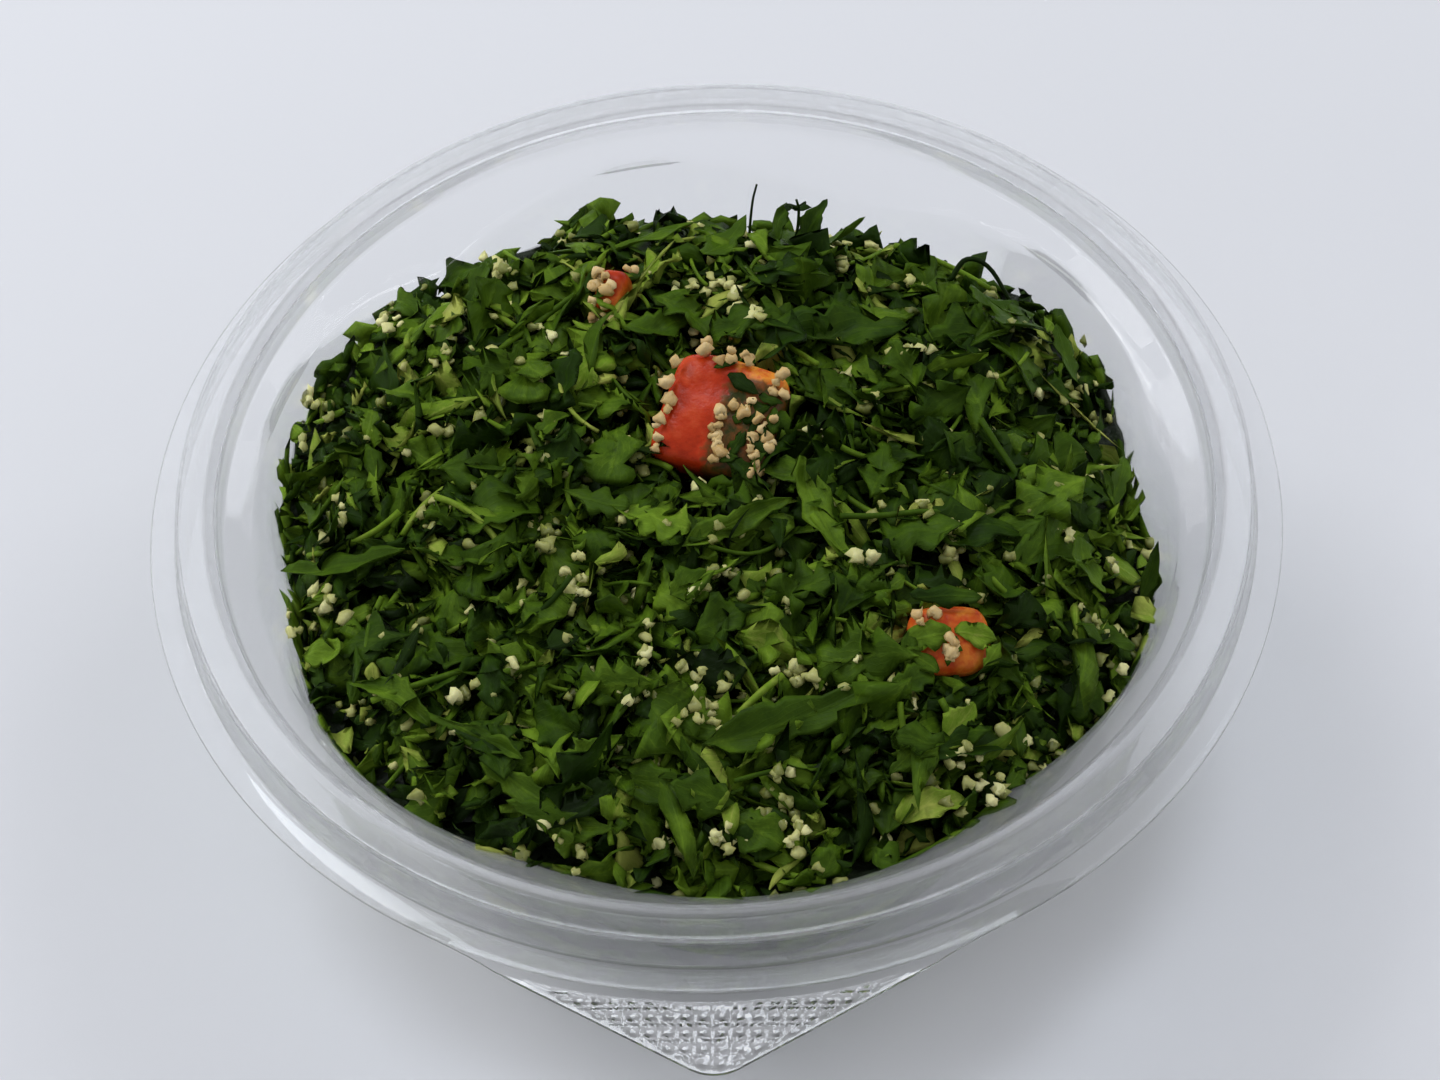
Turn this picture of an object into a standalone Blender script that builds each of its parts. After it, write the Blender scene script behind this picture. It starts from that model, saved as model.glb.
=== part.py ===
"""Tabbouleh salad heaped in a clear round deli bowl with a peel tab.

The bowl is one thermoformed sheet. From outside in, it has a flat sealing
flange with one rounded peel tab, a step up to a raised rim, a step down to
a sloping ledge, a cavity wall pressed into six shallow lobes, and a flat base
with a raised ring. The salad is one heap that follows the cavity wall, and
three chunks of tomato sit in pockets in its top.

Origin: centre of the underside of the flat base. +Z is up and -Y points
towards the peel tab. Lengths are in metres.
"""

import math

import bmesh
import bpy
import numpy as np
from mathutils import Euler, Matrix, Vector, noise

MM = 0.001

# Bowl: one sheet of even thickness.
SHEET = 0.5 * MM
BOWL_HEIGHT = 40.0 * MM
FLANGE_RADIUS = 75.0 * MM
FLANGE_DROP = 5.8 * MM
RIM_OUTER_RADIUS = 71.6 * MM
RIM_INNER_RADIUS = 65.6 * MM
RIM_EDGE = 0.6 * MM
RIM_DRAFT = 0.3 * MM
LEDGE_DROP = 3.2 * MM
CAVITY_RADIUS = 61.5 * MM
CAVITY_DROP = 5.2 * MM

# Cavity wall: six lobes, each an arc in plan, that lean in towards the base.
LOBE_COUNT = 6
LOBE_CORNER_AZIMUTH = 11.0
LOBE_ARC_RADIUS = 45.0 * MM
WALL_DRAFT = math.tan(math.radians(19.5))
LEDGE_CONE_SLOPE = 1.2
BASE_CORNER_RADIUS = 6.0 * MM

# Base: a raised ring pressed into the floor.
RING_OUTER_RADIUS = 33.0 * MM
RING_INNER_RADIUS = 29.0 * MM
RING_RISE = 1.2 * MM
RING_SLOPE = 1.0 * MM

# Peel tab: straight edges that leave the flange's circle at a tangent.
TAB_AZIMUTH = -89.0
TAB_SPREAD = 31.0
TAB_TIP_RADIUS = 6.0 * MM
TAB_STEP_RADIUS = 76.2 * MM
TAB_STEP_DROP = 0.6 * MM
STUD_PITCH_X = 2.22 * MM
STUD_PITCH_Y = 2.35 * MM
STUD_ROWS = 5
STUD_START = 1.9 * MM
STUD_BASE = 1.6 * MM
STUD_TOP = 0.7 * MM
STUD_HEIGHT = 0.45 * MM
STUD_ROOT = 0.2 * MM
STUD_MARGIN = 1.45 * MM

# Salad heap: its edge meets the wall at these heights, by azimuth in degrees.
EDGE_HEIGHTS = {0: 27.5, 30: 28.5, 60: 26.5, 90: 25.0, 120: 29.0, 150: 31.0,
                180: 29.0, 210: 30.0, 240: 33.0, 270: 33.0, 300: 33.5, 330: 29.0}
CROWN_HEIGHT = 41.3 * MM
SHOULDER_HEIGHT = 36.6 * MM
SHOULDER_RADIUS = 47.0 * MM
EDGE_STEEPNESS = 10
LUMP_SIZES = {17.0 * MM: 1.8 * MM, 9.0 * MM: 1.2 * MM}
GAP = 0.3 * MM
EDGE_GAP = 0.9 * MM

# Tomato chunks: centre, size, turn in degrees, and how far the far end narrows.
TOMATOES = {
    "tomato_large": ((1.0, 12.0, 38.3), (17.0, 15.0, 12.5), (8, -6, -9), 0.82),
    "tomato_medium": ((30.6, -24.3, 36.2), (11.0, 10.5, 9.0), (6, 10, 12), 0.86),
    "tomato_small": ((-14.6, 34.6, 36.0), (6.5, 8.0, 7.0), (-8, 6, -14), 0.70),
}
TOMATO_ROUNDING = 0.24
POCKET_GAP = 0.4 * MM

COLUMN_STEP = 6.0


# ---------------------------------------------------------------- outlines

def turned(azimuths, centre):
    """Azimuths measured from a centre line, in degrees from -180 to 180."""
    return (np.asarray(azimuths) - centre + 180.0) % 360.0 - 180.0


def tab_tip_centre():
    """Distance from the bowl's axis to the centre of the tab's round tip."""
    return (FLANGE_RADIUS - TAB_TIP_RADIUS) / math.cos(math.radians(TAB_SPREAD))


def tab_tip_azimuth():
    """Half angle, seen from the bowl's axis, of the tab's round tip."""
    spread = math.radians(TAB_SPREAD)
    across = TAB_TIP_RADIUS * math.sin(spread)
    along = tab_tip_centre() + TAB_TIP_RADIUS * math.cos(spread)
    return math.degrees(math.atan2(across, along))


def flange_outline(azimuths):
    """Outer radius of the flange: a circle, two tangents and a round tip."""
    away = np.radians(np.abs(turned(azimuths, TAB_AZIMUTH)))
    spread = math.radians(TAB_SPREAD)
    straight = FLANGE_RADIUS / np.cos(np.clip(spread - away, 0.0, spread))
    centre = tab_tip_centre()
    inside = np.clip(TAB_TIP_RADIUS**2 - (centre * np.sin(away))**2, 0.0, None)
    tip = centre * np.cos(away) + np.sqrt(inside)
    return np.where(away < math.radians(tab_tip_azimuth()), tip, straight)


def lobe_outline(azimuths):
    """Cavity radius at the ledge's foot: six arcs that meet at corners."""
    pitch = 360.0 / LOBE_COUNT
    peak = LOBE_CORNER_AZIMUTH + pitch / 2
    away = np.radians((turned(azimuths, peak) + pitch / 2) % pitch - pitch / 2)
    centre = CAVITY_RADIUS - LOBE_ARC_RADIUS
    return (centre * np.cos(away)
            + np.sqrt(LOBE_ARC_RADIUS**2 - (centre * np.sin(away))**2))


def wall_radius(azimuths, depth):
    """Cavity radius at a depth under the ledge: the lobes or the ledge's cone."""
    lobes = lobe_outline(azimuths) - WALL_DRAFT * depth
    cone = CAVITY_RADIUS - LEDGE_CONE_SLOPE * depth
    return np.maximum(lobes, cone)


def columns():
    """Azimuths of the mesh's columns: each lobe's corners, and the tab's tip."""
    tip = tab_tip_azimuth()
    lobes = LOBE_CORNER_AZIMUTH + np.arange(0.0, 360.0, COLUMN_STEP)
    away = turned(lobes, TAB_AZIMUTH)
    clear = np.abs(away) > tip + COLUMN_STEP / 4
    tips = np.linspace(-tip, tip, 5)
    return TAB_AZIMUTH + np.sort(np.concatenate([away[clear], tips]))


# ---------------------------------------------------------------- meshes

def ring(azimuths, radius, height):
    """One ring of points: a radius and a height for each azimuth."""
    angle = np.radians(azimuths)
    radius = np.broadcast_to(radius, angle.shape)
    height = np.broadcast_to(height, angle.shape)
    return np.stack([radius * np.cos(angle), radius * np.sin(angle), height], axis=1)


def loft(name, rings, first_pole=None, last_pole=None):
    """A mesh through rings of equal count, closed at either end by a point."""
    mesh = bpy.data.meshes.new(name)
    shape = bmesh.new()
    rows = [[shape.verts.new(point) for point in row] for row in rings]
    count = len(rows[0])
    for outer, inner in zip(rows[:-1], rows[1:]):
        for j in range(count):
            k = (j + 1) % count
            shape.faces.new((outer[j], outer[k], inner[k], inner[j]))
    if first_pole is not None:
        pole = shape.verts.new(first_pole)
        for j in range(count):
            shape.faces.new((pole, rows[0][(j + 1) % count], rows[0][j]))
    if last_pole is not None:
        pole = shape.verts.new(last_pole)
        for j in range(count):
            shape.faces.new((pole, rows[-1][j], rows[-1][(j + 1) % count]))
    shape.to_mesh(mesh)
    shape.free()
    mesh.shade_smooth()
    mesh.set_sharp_from_angle(angle=math.radians(40))
    return mesh


def corner_profile(azimuths, start_depth, base_depth, inset):
    """Rings round the base's corner, from the wall down to the flat floor."""
    rings = []
    for share in (0.0, 0.5, 0.85, 1.0):
        turn = share * math.pi / 2
        depth = start_depth + (base_depth - start_depth) * math.sin(turn)
        inward = BASE_CORNER_RADIUS * (1.0 - math.cos(turn))
        radius = wall_radius(azimuths, depth) - inward - inset
        rings.append((radius, depth))
    return rings


# ---------------------------------------------------------------- materials

def material(name, colour, roughness, alpha=1.0, ior=1.45):
    """A Principled material with one colour and roughness."""
    made = bpy.data.materials.new(name)
    made.use_nodes = True
    shader = made.node_tree.nodes["Principled BSDF"]
    shader.inputs["Base Color"].default_value = (*colour, 1.0)
    shader.inputs["Roughness"].default_value = roughness
    shader.inputs["Metallic"].default_value = 0.0
    shader.inputs["IOR"].default_value = ior
    shader.inputs["Alpha"].default_value = alpha
    return made


def place(name, mesh, collection, finish):
    """An object for a mesh, in a collection, with one material."""
    made = bpy.data.objects.new(name, mesh)
    collection.objects.link(made)
    if finish is not None:
        mesh.materials.append(finish)
    return made


def as_cutter(made):
    """Mark an object as a tool for Booleans, not a part."""
    made.hide_render = True
    made.display_type = 'WIRE'


def boolean(target, tool, operation):
    """Add a Boolean modifier to an object."""
    cut = target.modifiers.new(operation.title() + " " + tool.name, 'BOOLEAN')
    cut.operation = operation
    cut.object = tool
    cut.solver = 'EXACT'


# ---------------------------------------------------------------- the bowl

def rim_rings(azimuths):
    """Rings of the flange, its tab, the raised rim and the ledge."""
    flange = BOWL_HEIGHT - FLANGE_DROP
    outline = flange_outline(azimuths)
    beyond = outline - FLANGE_RADIUS
    step = np.minimum(TAB_STEP_RADIUS - FLANGE_RADIUS, beyond / 2)
    drop = TAB_STEP_DROP * np.clip(beyond / TAB_STEP_DROP, 0.0, 1.0)
    foot = RIM_OUTER_RADIUS
    lip = RIM_INNER_RADIUS
    top = BOWL_HEIGHT
    return [
        ring(azimuths, outline, flange - drop),
        ring(azimuths, FLANGE_RADIUS - RIM_EDGE / 2 + step, flange - drop),
        ring(azimuths, FLANGE_RADIUS - RIM_EDGE, flange),
        ring(azimuths, foot, flange),
        ring(azimuths, foot - RIM_DRAFT, top - RIM_EDGE),
        ring(azimuths, foot - RIM_DRAFT - RIM_EDGE, top),
        ring(azimuths, lip + RIM_EDGE, top),
        ring(azimuths, lip, top - RIM_EDGE),
        ring(azimuths, lip - RIM_DRAFT, top - LEDGE_DROP),
        ring(azimuths, CAVITY_RADIUS, top - CAVITY_DROP),
    ]


def base_rings(azimuths, floor, gap):
    """Rings of the raised ring in the base, kept a gap clear on both sides."""
    high = floor + RING_RISE
    return [
        ring(azimuths, RING_OUTER_RADIUS + gap, floor),
        ring(azimuths, RING_OUTER_RADIUS - RING_SLOPE + gap, high),
        ring(azimuths, RING_INNER_RADIUS + RING_SLOPE - gap, high),
        ring(azimuths, RING_INNER_RADIUS - gap, floor),
    ]


def make_bowl(collection, cutters, finish):
    """The bowl's inner surface as one sheet, thickened, with studs on its tab."""
    azimuths = columns()
    ledge = BOWL_HEIGHT - CAVITY_DROP
    deepest = ledge - SHEET
    corner_start = deepest - BASE_CORNER_RADIUS
    rings = rim_rings(azimuths)
    for depth in (2.2 * MM, 4.2 * MM, 7.0 * MM, 15.0 * MM):
        rings.append(ring(azimuths, wall_radius(azimuths, depth), ledge - depth))
    for radius, depth in corner_profile(azimuths, corner_start, deepest, 0.0):
        rings.append(ring(azimuths, radius, ledge - depth))
    rings += base_rings(azimuths, SHEET, 0.0)
    bowl = place("bowl", loft("bowl", rings, last_pole=(0.0, 0.0, SHEET)), collection, finish)
    thicken = bowl.modifiers.new("Sheet", 'SOLIDIFY')
    thicken.thickness = SHEET
    thicken.offset = -1.0
    thicken.use_even_offset = True
    boolean(bowl, make_studs(cutters), 'UNION')
    return bowl


def stud_places():
    """Where the tab's studs stand: a square grid, clear of the tab's edges."""
    columns_out = int(FLANGE_RADIUS * math.sin(math.radians(TAB_SPREAD)) / STUD_PITCH_X)
    nearest = TAB_STEP_RADIUS + STUD_BASE / 2
    places = []
    for row in range(STUD_ROWS):
        y = -(TAB_STEP_RADIUS + STUD_START + (row - 1) * STUD_PITCH_Y)
        for column in range(-columns_out, columns_out + 1):
            x = column * STUD_PITCH_X
            radius = math.hypot(x, y)
            outline = float(flange_outline([math.degrees(math.atan2(y, x))])[0])
            if nearest < radius < outline - STUD_MARGIN:
                places.append((x, y))
    return places


def make_studs(cutters):
    """The grip studs: small four-sided pyramids with cut tops, one mesh."""
    mesh = bpy.data.meshes.new("tab_studs")
    shape = bmesh.new()
    seat = BOWL_HEIGHT - FLANGE_DROP - TAB_STEP_DROP
    height = STUD_HEIGHT + STUD_ROOT
    middle = seat - STUD_ROOT + height / 2
    turn = Matrix.Rotation(math.radians(45), 4, 'Z')
    for x, y in stud_places():
        bmesh.ops.create_cone(
            shape, cap_ends=True, segments=4,
            radius1=STUD_BASE / math.sqrt(2), radius2=STUD_TOP / math.sqrt(2),
            depth=height, matrix=Matrix.Translation((x, y, middle)) @ turn)
    shape.to_mesh(mesh)
    shape.free()
    studs = place("tab_studs", mesh, cutters, None)
    as_cutter(studs)
    return studs


# ---------------------------------------------------------------- the salad

def edge_height(azimuths):
    """Height at which the heap meets the wall, eased between named azimuths."""
    angles = np.array(sorted(EDGE_HEIGHTS), dtype=float)
    heights = np.array([EDGE_HEIGHTS[int(angle)] for angle in angles]) * MM
    pitch = angles[1] - angles[0]
    place_in = (np.asarray(azimuths) % 360.0) / pitch
    low = np.floor(place_in).astype(int)
    share = place_in - low
    ease = share * share * (3.0 - 2.0 * share)
    count = len(heights)
    return heights[low % count] * (1 - ease) + heights[(low + 1) % count] * ease


def lumps(x, y):
    """Height of the heap's lumps: smooth noise at two sizes."""
    total = 0.0
    for size, height in LUMP_SIZES.items():
        total += height * noise.noise(Vector((x / size, y / size, size / MM)))
    return total


def heap_ring(azimuths, edge_radius, edge, share):
    """One ring of the heap's top at a share of the way out to the wall."""
    radius = edge_radius * share
    fall = (CROWN_HEIGHT - SHOULDER_HEIGHT) / SHOULDER_RADIUS**2
    dome = CROWN_HEIGHT - fall * radius**2
    steep = 1.0 - share**EDGE_STEEPNESS
    height = edge + (dome - edge) * steep
    points = ring(azimuths, radius, height)
    rough = np.array([lumps(x, y) for x, y, _ in points])
    points[:, 2] += rough * min(1.0, 4.0 * (1.0 - share))
    return points


def make_salad(collection, finish):
    """The heap: it follows the cavity a small gap inside, and domes on top."""
    azimuths = columns()
    ledge = BOWL_HEIGHT - CAVITY_DROP
    side_gap = GAP * 1.2
    floor = SHEET + GAP
    rings = base_rings(azimuths, floor, side_gap)[::-1]
    deepest = ledge - SHEET
    corner_start = deepest - BASE_CORNER_RADIUS
    corner = corner_profile(azimuths, corner_start, deepest, side_gap)
    for radius, depth in corner[::-1]:
        rings.append(ring(azimuths, radius, ledge - depth + GAP))
    edge = edge_height(azimuths)
    start = ledge - corner_start + GAP
    for share in (0.35, 0.65, 0.85):
        height = start + (edge - start) * share
        radius = wall_radius(azimuths, ledge - height) - side_gap - (EDGE_GAP - side_gap) * share
        rings.append(ring(azimuths, radius, height))
    edge_radius = wall_radius(azimuths, ledge - edge) - EDGE_GAP
    for share in (1.0, 0.975, 0.94, 0.89, 0.81, 0.71, 0.60, 0.48, 0.36, 0.24, 0.12):
        rings.append(heap_ring(azimuths, edge_radius, edge, share))
    mesh = loft("salad", rings,
                first_pole=(0.0, 0.0, floor),
                last_pole=(0.0, 0.0, CROWN_HEIGHT + lumps(0.0, 0.0)))
    return place("salad", mesh, collection, finish)


# ---------------------------------------------------------------- the tomatoes

def chunk_mesh(name, size, narrow, grow):
    """A cut chunk: a box that narrows towards one side, with rounded edges."""
    mesh = bpy.data.meshes.new(name)
    shape = bmesh.new()
    bmesh.ops.create_cube(shape, size=1.0)
    x_size, y_size, z_size = size
    for vert in shape.verts:
        side = narrow if vert.co.x > 0 else 1.0
        vert.co.x *= x_size
        vert.co.y *= y_size * side
        vert.co.z *= z_size * (side + 1.0) / 2
    rounding = TOMATO_ROUNDING * min(size)
    bmesh.ops.bevel(shape, geom=shape.edges[:], offset=rounding, segments=3,
                    profile=0.5, affect='EDGES', clamp_overlap=True)
    bmesh.ops.recalc_face_normals(shape, faces=shape.faces[:])
    for vert in shape.verts:
        away = vert.co.normalized()
        vert.co += away * grow
    shape.to_mesh(mesh)
    shape.free()
    mesh.shade_smooth()
    return mesh


def make_tomato(name, collection, cutters, finish, salad):
    """One chunk, and the pocket that it sits in."""
    centre, size, turn, narrow = TOMATOES[name]
    size = [length * MM for length in size]
    turn = Euler([math.radians(angle) for angle in turn])
    spot = Vector(centre) * MM
    chunk = place(name, chunk_mesh(name, size, narrow, 0.0), collection, finish)
    grow = POCKET_GAP * 1.6
    pocket = place(name + "_pocket", chunk_mesh(name + "_pocket", size, narrow, grow),
                   cutters, None)
    as_cutter(pocket)
    for made in (chunk, pocket):
        made.location = spot
        made.rotation_euler = turn
    boolean(salad, pocket, 'DIFFERENCE')
    return chunk


# ---------------------------------------------------------------- the build

def new_collection(name):
    """A collection linked into the scene."""
    made = bpy.data.collections.new(name)
    bpy.context.scene.collection.children.link(made)
    return made


def main():
    """Clear the scene and build the bowl, the heap and the chunks."""
    for old in list(bpy.data.objects):
        bpy.data.objects.remove(old, do_unlink=True)
    parts = new_collection("tabbouleh_salad")
    cutters = new_collection("cutters")
    clear = material("clear_sheet", (0.92, 0.95, 0.96), 0.06, alpha=0.3, ior=1.57)
    herbs = material("chopped_herbs", (0.06, 0.13, 0.02), 0.55)
    flesh = material("tomato_flesh", (0.55, 0.06, 0.03), 0.25)
    make_bowl(parts, cutters, clear)
    salad = make_salad(parts, herbs)
    for name in TOMATOES:
        make_tomato(name, parts, cutters, flesh, salad)


main()
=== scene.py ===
# %% [markdown]
# # Tabbouleh in a clear deli bowl
# The frame gives the real sizes: a bowl pressed from one clear sheet, a heap
# of salad and three chunks of tomato. Here each of them gets its looks. The
# bowl is drawn again as a finer sheet, and the heap becomes a core, dark with
# painted shade, with thousands of small leaves, stems and grains on it.

# %% Load the frame
import math

import bpy
import numpy as np
from mathutils import Matrix, Vector
from mathutils.bvhtree import BVHTree


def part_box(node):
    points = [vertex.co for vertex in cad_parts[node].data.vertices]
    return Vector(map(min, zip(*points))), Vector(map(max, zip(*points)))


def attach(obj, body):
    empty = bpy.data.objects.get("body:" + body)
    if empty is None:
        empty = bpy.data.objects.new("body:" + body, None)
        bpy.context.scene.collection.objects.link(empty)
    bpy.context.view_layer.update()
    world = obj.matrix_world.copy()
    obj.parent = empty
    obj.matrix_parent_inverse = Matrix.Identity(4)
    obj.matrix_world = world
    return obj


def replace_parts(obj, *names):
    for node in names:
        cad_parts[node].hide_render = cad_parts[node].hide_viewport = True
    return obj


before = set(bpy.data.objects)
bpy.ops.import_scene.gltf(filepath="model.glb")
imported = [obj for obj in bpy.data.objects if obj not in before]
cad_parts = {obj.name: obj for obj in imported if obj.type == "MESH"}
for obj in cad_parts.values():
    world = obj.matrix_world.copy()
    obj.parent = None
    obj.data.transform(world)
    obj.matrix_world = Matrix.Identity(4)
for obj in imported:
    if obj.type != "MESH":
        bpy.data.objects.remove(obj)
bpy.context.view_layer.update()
MM = 0.001
print("nodes:", sorted(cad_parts))

# %% [markdown]
# ## Sizes
# The frame's boxes give the outer sizes. The steps of the rim and the lobes
# of the cavity repeat the design's own dimensions, in metres from the centre
# of the bowl's flat base, with the peel tab towards -Y. Azimuths are in
# degrees, counted from +X.

# %% Sizes of the bowl
bowl_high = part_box("bowl")[1]
BOWL_HEIGHT = bowl_high.z
FLANGE_RADIUS = round(bowl_high.y, 4)
SHEET = 0.5 * MM
FLANGE = BOWL_HEIGHT - 5.8 * MM
LEDGE_FOOT = BOWL_HEIGHT - 5.2 * MM
CAVITY_RADIUS = 61.5 * MM
CAVITY_DEPTH = LEDGE_FOOT - SHEET
LOBES = 6
LOBE_CORNER = 11.0
LOBE_ARC = 45.0 * MM
LOBE_BLEND = 0.7 * MM
WALL_DRAFT = math.tan(math.radians(19.5))
LEDGE_CONE = 1.2
CORNER_RADIUS = 6.0 * MM
RING_RADIUS = 31.0 * MM
RING_HALF_WIDTH = 1.6 * MM
RING_HEIGHT = 1.2 * MM
TAB_AZIMUTH = -89.0
TAB_SPREAD = 31.0
TAB_TIP_RADIUS = 6.0 * MM
print("flange radius", FLANGE_RADIUS, "rim height", round(BOWL_HEIGHT, 4))

# %% Outlines seen from above
def away_from(azimuths, centre):
    """Angle from a centre line, in degrees between -180 and 180."""
    return (np.asarray(azimuths) - centre + 180.0) % 360.0 - 180.0


def flange_outline(azimuths):
    """A circle, then the tangents R / cos(spread - a), then the tab's round tip."""
    a = np.radians(np.abs(away_from(azimuths, TAB_AZIMUTH)))
    spread = math.radians(TAB_SPREAD)
    centre = (FLANGE_RADIUS - TAB_TIP_RADIUS) / math.cos(spread)
    tip_edge = math.atan2(TAB_TIP_RADIUS * math.sin(spread),
                          centre + TAB_TIP_RADIUS * math.cos(spread))
    straight = FLANGE_RADIUS / np.cos(np.clip(spread - a, 0.0, spread))
    inside = np.clip(TAB_TIP_RADIUS**2 - (centre * np.sin(a))**2, 0.0, None)
    return np.where(a < tip_edge, centre * np.cos(a) + np.sqrt(inside), straight)


def larger(a, b, blend):
    """A rounded maximum: max plus blend (1 - |a - b| / blend)^2 / 4 where they are close."""
    gap = np.clip(1.0 - np.abs(a - b) / blend, 0.0, 1.0)
    return np.maximum(a, b) + blend * gap**2 / 4


def wall_radius(azimuths, depth):
    """Radius of the cavity at a depth under the ledge.

    Six arcs of one radius meet at corners. They lean in by the draft, and the
    ledge runs down to their corners as a cone of slope LEDGE_CONE."""
    pitch = 360.0 / LOBES
    a = away_from(azimuths, LOBE_CORNER + pitch / 2)
    a = np.radians((a + pitch / 2) % pitch - pitch / 2)
    centre = CAVITY_RADIUS - LOBE_ARC
    lobes = centre * np.cos(a) + np.sqrt(LOBE_ARC**2 - (centre * np.sin(a))**2)
    cone = CAVITY_RADIUS - LEDGE_CONE * depth
    return larger(lobes - WALL_DRAFT * depth, cone, LOBE_BLEND)


def inner_radius(azimuths, depth):
    """Radius of the inner face at a depth, with the quarter turn into the base."""
    into = np.clip((depth - CAVITY_DEPTH + CORNER_RADIUS) / CORNER_RADIUS, 0.0, 1.0)
    corner = CORNER_RADIUS * (1.0 - np.sqrt(1.0 - into**2))
    return wall_radius(azimuths, np.clip(depth, 0.0, CAVITY_DEPTH)) - corner


def floor_height(radius):
    """Height of the base's inner face, with its ring of height H exp(-(d / w)^4)."""
    return SHEET + RING_HEIGHT * np.exp(-((radius - RING_RADIUS) / RING_HALF_WIDTH)**4)


# %% [markdown]
# ## Helpers
# Every shape below is an array of points worked out in one go. A few helpers
# number the faces of a grid and of a ball, and the last one fills a Blender
# mesh and ties the piece to the frame.

# %% Faces of grids and balls
def grid_quads(rows, columns, wrap=False):
    """Corner numbers of the quads of a grid that is stored row by row."""
    last = columns if wrap else columns - 1
    row, column = np.meshgrid(np.arange(rows - 1), np.arange(last), indexing="ij")
    after = (column + 1) % columns
    quads = [row * columns + column, row * columns + after,
             (row + 1) * columns + after, (row + 1) * columns + column]
    return np.stack(quads, axis=-1).reshape(-1, 4)


def fan(ring, pole, flip=False):
    """Triangles from a closed ring of corner numbers to one pole."""
    after = np.roll(ring, -1)
    first, second = (after, ring) if flip else (ring, after)
    return np.stack([first, second, np.full(len(ring), pole)], axis=1)


def ball_faces(rows, columns, inward=False):
    """Faces of rings that are stored row by row and closed by a pole at each end."""
    count = rows * columns
    first = np.arange(columns)
    quads = grid_quads(rows, columns, wrap=True)
    ends = [fan(first, count, flip=not inward),
            fan(first + count - columns, count + 1, flip=inward)]
    return [quads[:, ::-1] if inward else quads, np.concatenate(ends)]


def repeat_faces(faces, count, stride):
    """The faces of one shape, numbered for count copies that follow each other."""
    numbered = faces[None] + (np.arange(count) * stride)[:, None, None]
    return numbered.reshape(-1, faces.shape[1])


# %% One mesh for one piece
SHARP_ANGLE = math.radians(20)


def new_piece(name, points, faces, material, values=None, uv=None, facets=None):
    """A mesh object from arrays, smooth shaded, riding on the bowl's body.

    faces is a list of arrays of corner numbers. values are numbers per point,
    by attribute name, and uv is a place on the material per point. facets marks
    the points between which an edge over SHARP_ANGLE stays sharp."""
    mesh = bpy.data.meshes.new(name)
    corners = [face for group in faces for face in group.tolist()]
    mesh.from_pydata(points.reshape(-1, 3).tolist(), [], corners)
    mesh.shade_smooth()
    if facets is not None:
        mesh.set_sharp_from_angle(angle=SHARP_ANGLE)
        ends = np.empty(2 * len(mesh.edges), dtype=np.int32)
        mesh.edges.foreach_get("vertices", ends)
        crisp = np.empty(len(mesh.edges), dtype=bool)
        marks = mesh.attributes["sharp_edge"].data
        marks.foreach_get("value", crisp)
        marks.foreach_set("value", crisp & facets[ends.reshape(-1, 2)].all(axis=1))
    for key, data in (values or {}).items():
        made = mesh.attributes.new(key, 'FLOAT', 'POINT')
        made.data.foreach_set("value", np.ascontiguousarray(data, dtype=np.float32).ravel())
    if uv is not None:
        index = np.empty(len(mesh.loops), dtype=np.int32)
        mesh.loops.foreach_get("vertex_index", index)
        layer = mesh.uv_layers.new(name="Surface")
        layer.data.foreach_set("uv", uv.reshape(-1, 2)[index].astype(np.float32).ravel())
    mesh.materials.append(material)
    piece = bpy.data.objects.new(name, mesh)
    bpy.context.scene.collection.objects.link(piece)
    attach(piece, "root")
    print(name, "points", len(mesh.vertices), "faces", len(mesh.polygons))
    return piece


# %% Vectors
def unit(vectors):
    """Vectors scaled to length one."""
    return vectors / np.maximum(np.linalg.norm(vectors, axis=-1, keepdims=True), 1e-12)


def heading(angle):
    """Level unit vectors that point along angles in radians."""
    return np.stack([np.cos(angle), np.sin(angle), np.zeros(len(angle))], axis=1)


def in_plane(vectors, normals):
    """The part of each vector across its normal, scaled to length one."""
    return unit(vectors - normals * np.sum(vectors * normals, axis=1, keepdims=True))


def polar(radius, angle, height):
    """Points at a radius and an angle in radians from the bowl's axis."""
    return np.stack([radius * np.cos(angle), radius * np.sin(angle), height], axis=-1)


# %% Smooth noise
LATTICE = 32


def smooth_noise(points, size, seed):
    """Random heights from -1 to 1 on a lattice, eased between its corners.

    With f the place inside a cell, each axis is blended by 3f^2 - 2f^3."""
    table = np.random.default_rng(seed).uniform(-1.0, 1.0, (LATTICE,) * 3)
    place = np.asarray(points) / size
    cell = np.floor(place).astype(int)
    share = place - cell
    share = share * share * (3.0 - 2.0 * share)
    total = 0.0
    for corner in np.ndindex(2, 2, 2):
        near = np.array(corner)
        weight = np.prod(np.where(near, share, 1.0 - share), axis=-1)
        i, j, k = np.moveaxis((cell + near) % LATTICE, -1, 0)
        total = total + weight * table[i, j, k]
    return total


# %% [markdown]
# ## Shader maths
# A material's pattern is arithmetic on its nodes. `Wire` wraps one socket, so
# that `mask * 0.5 + 0.2` adds the Math nodes by itself, and `Finish` holds one
# material and adds any other node.

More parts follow.
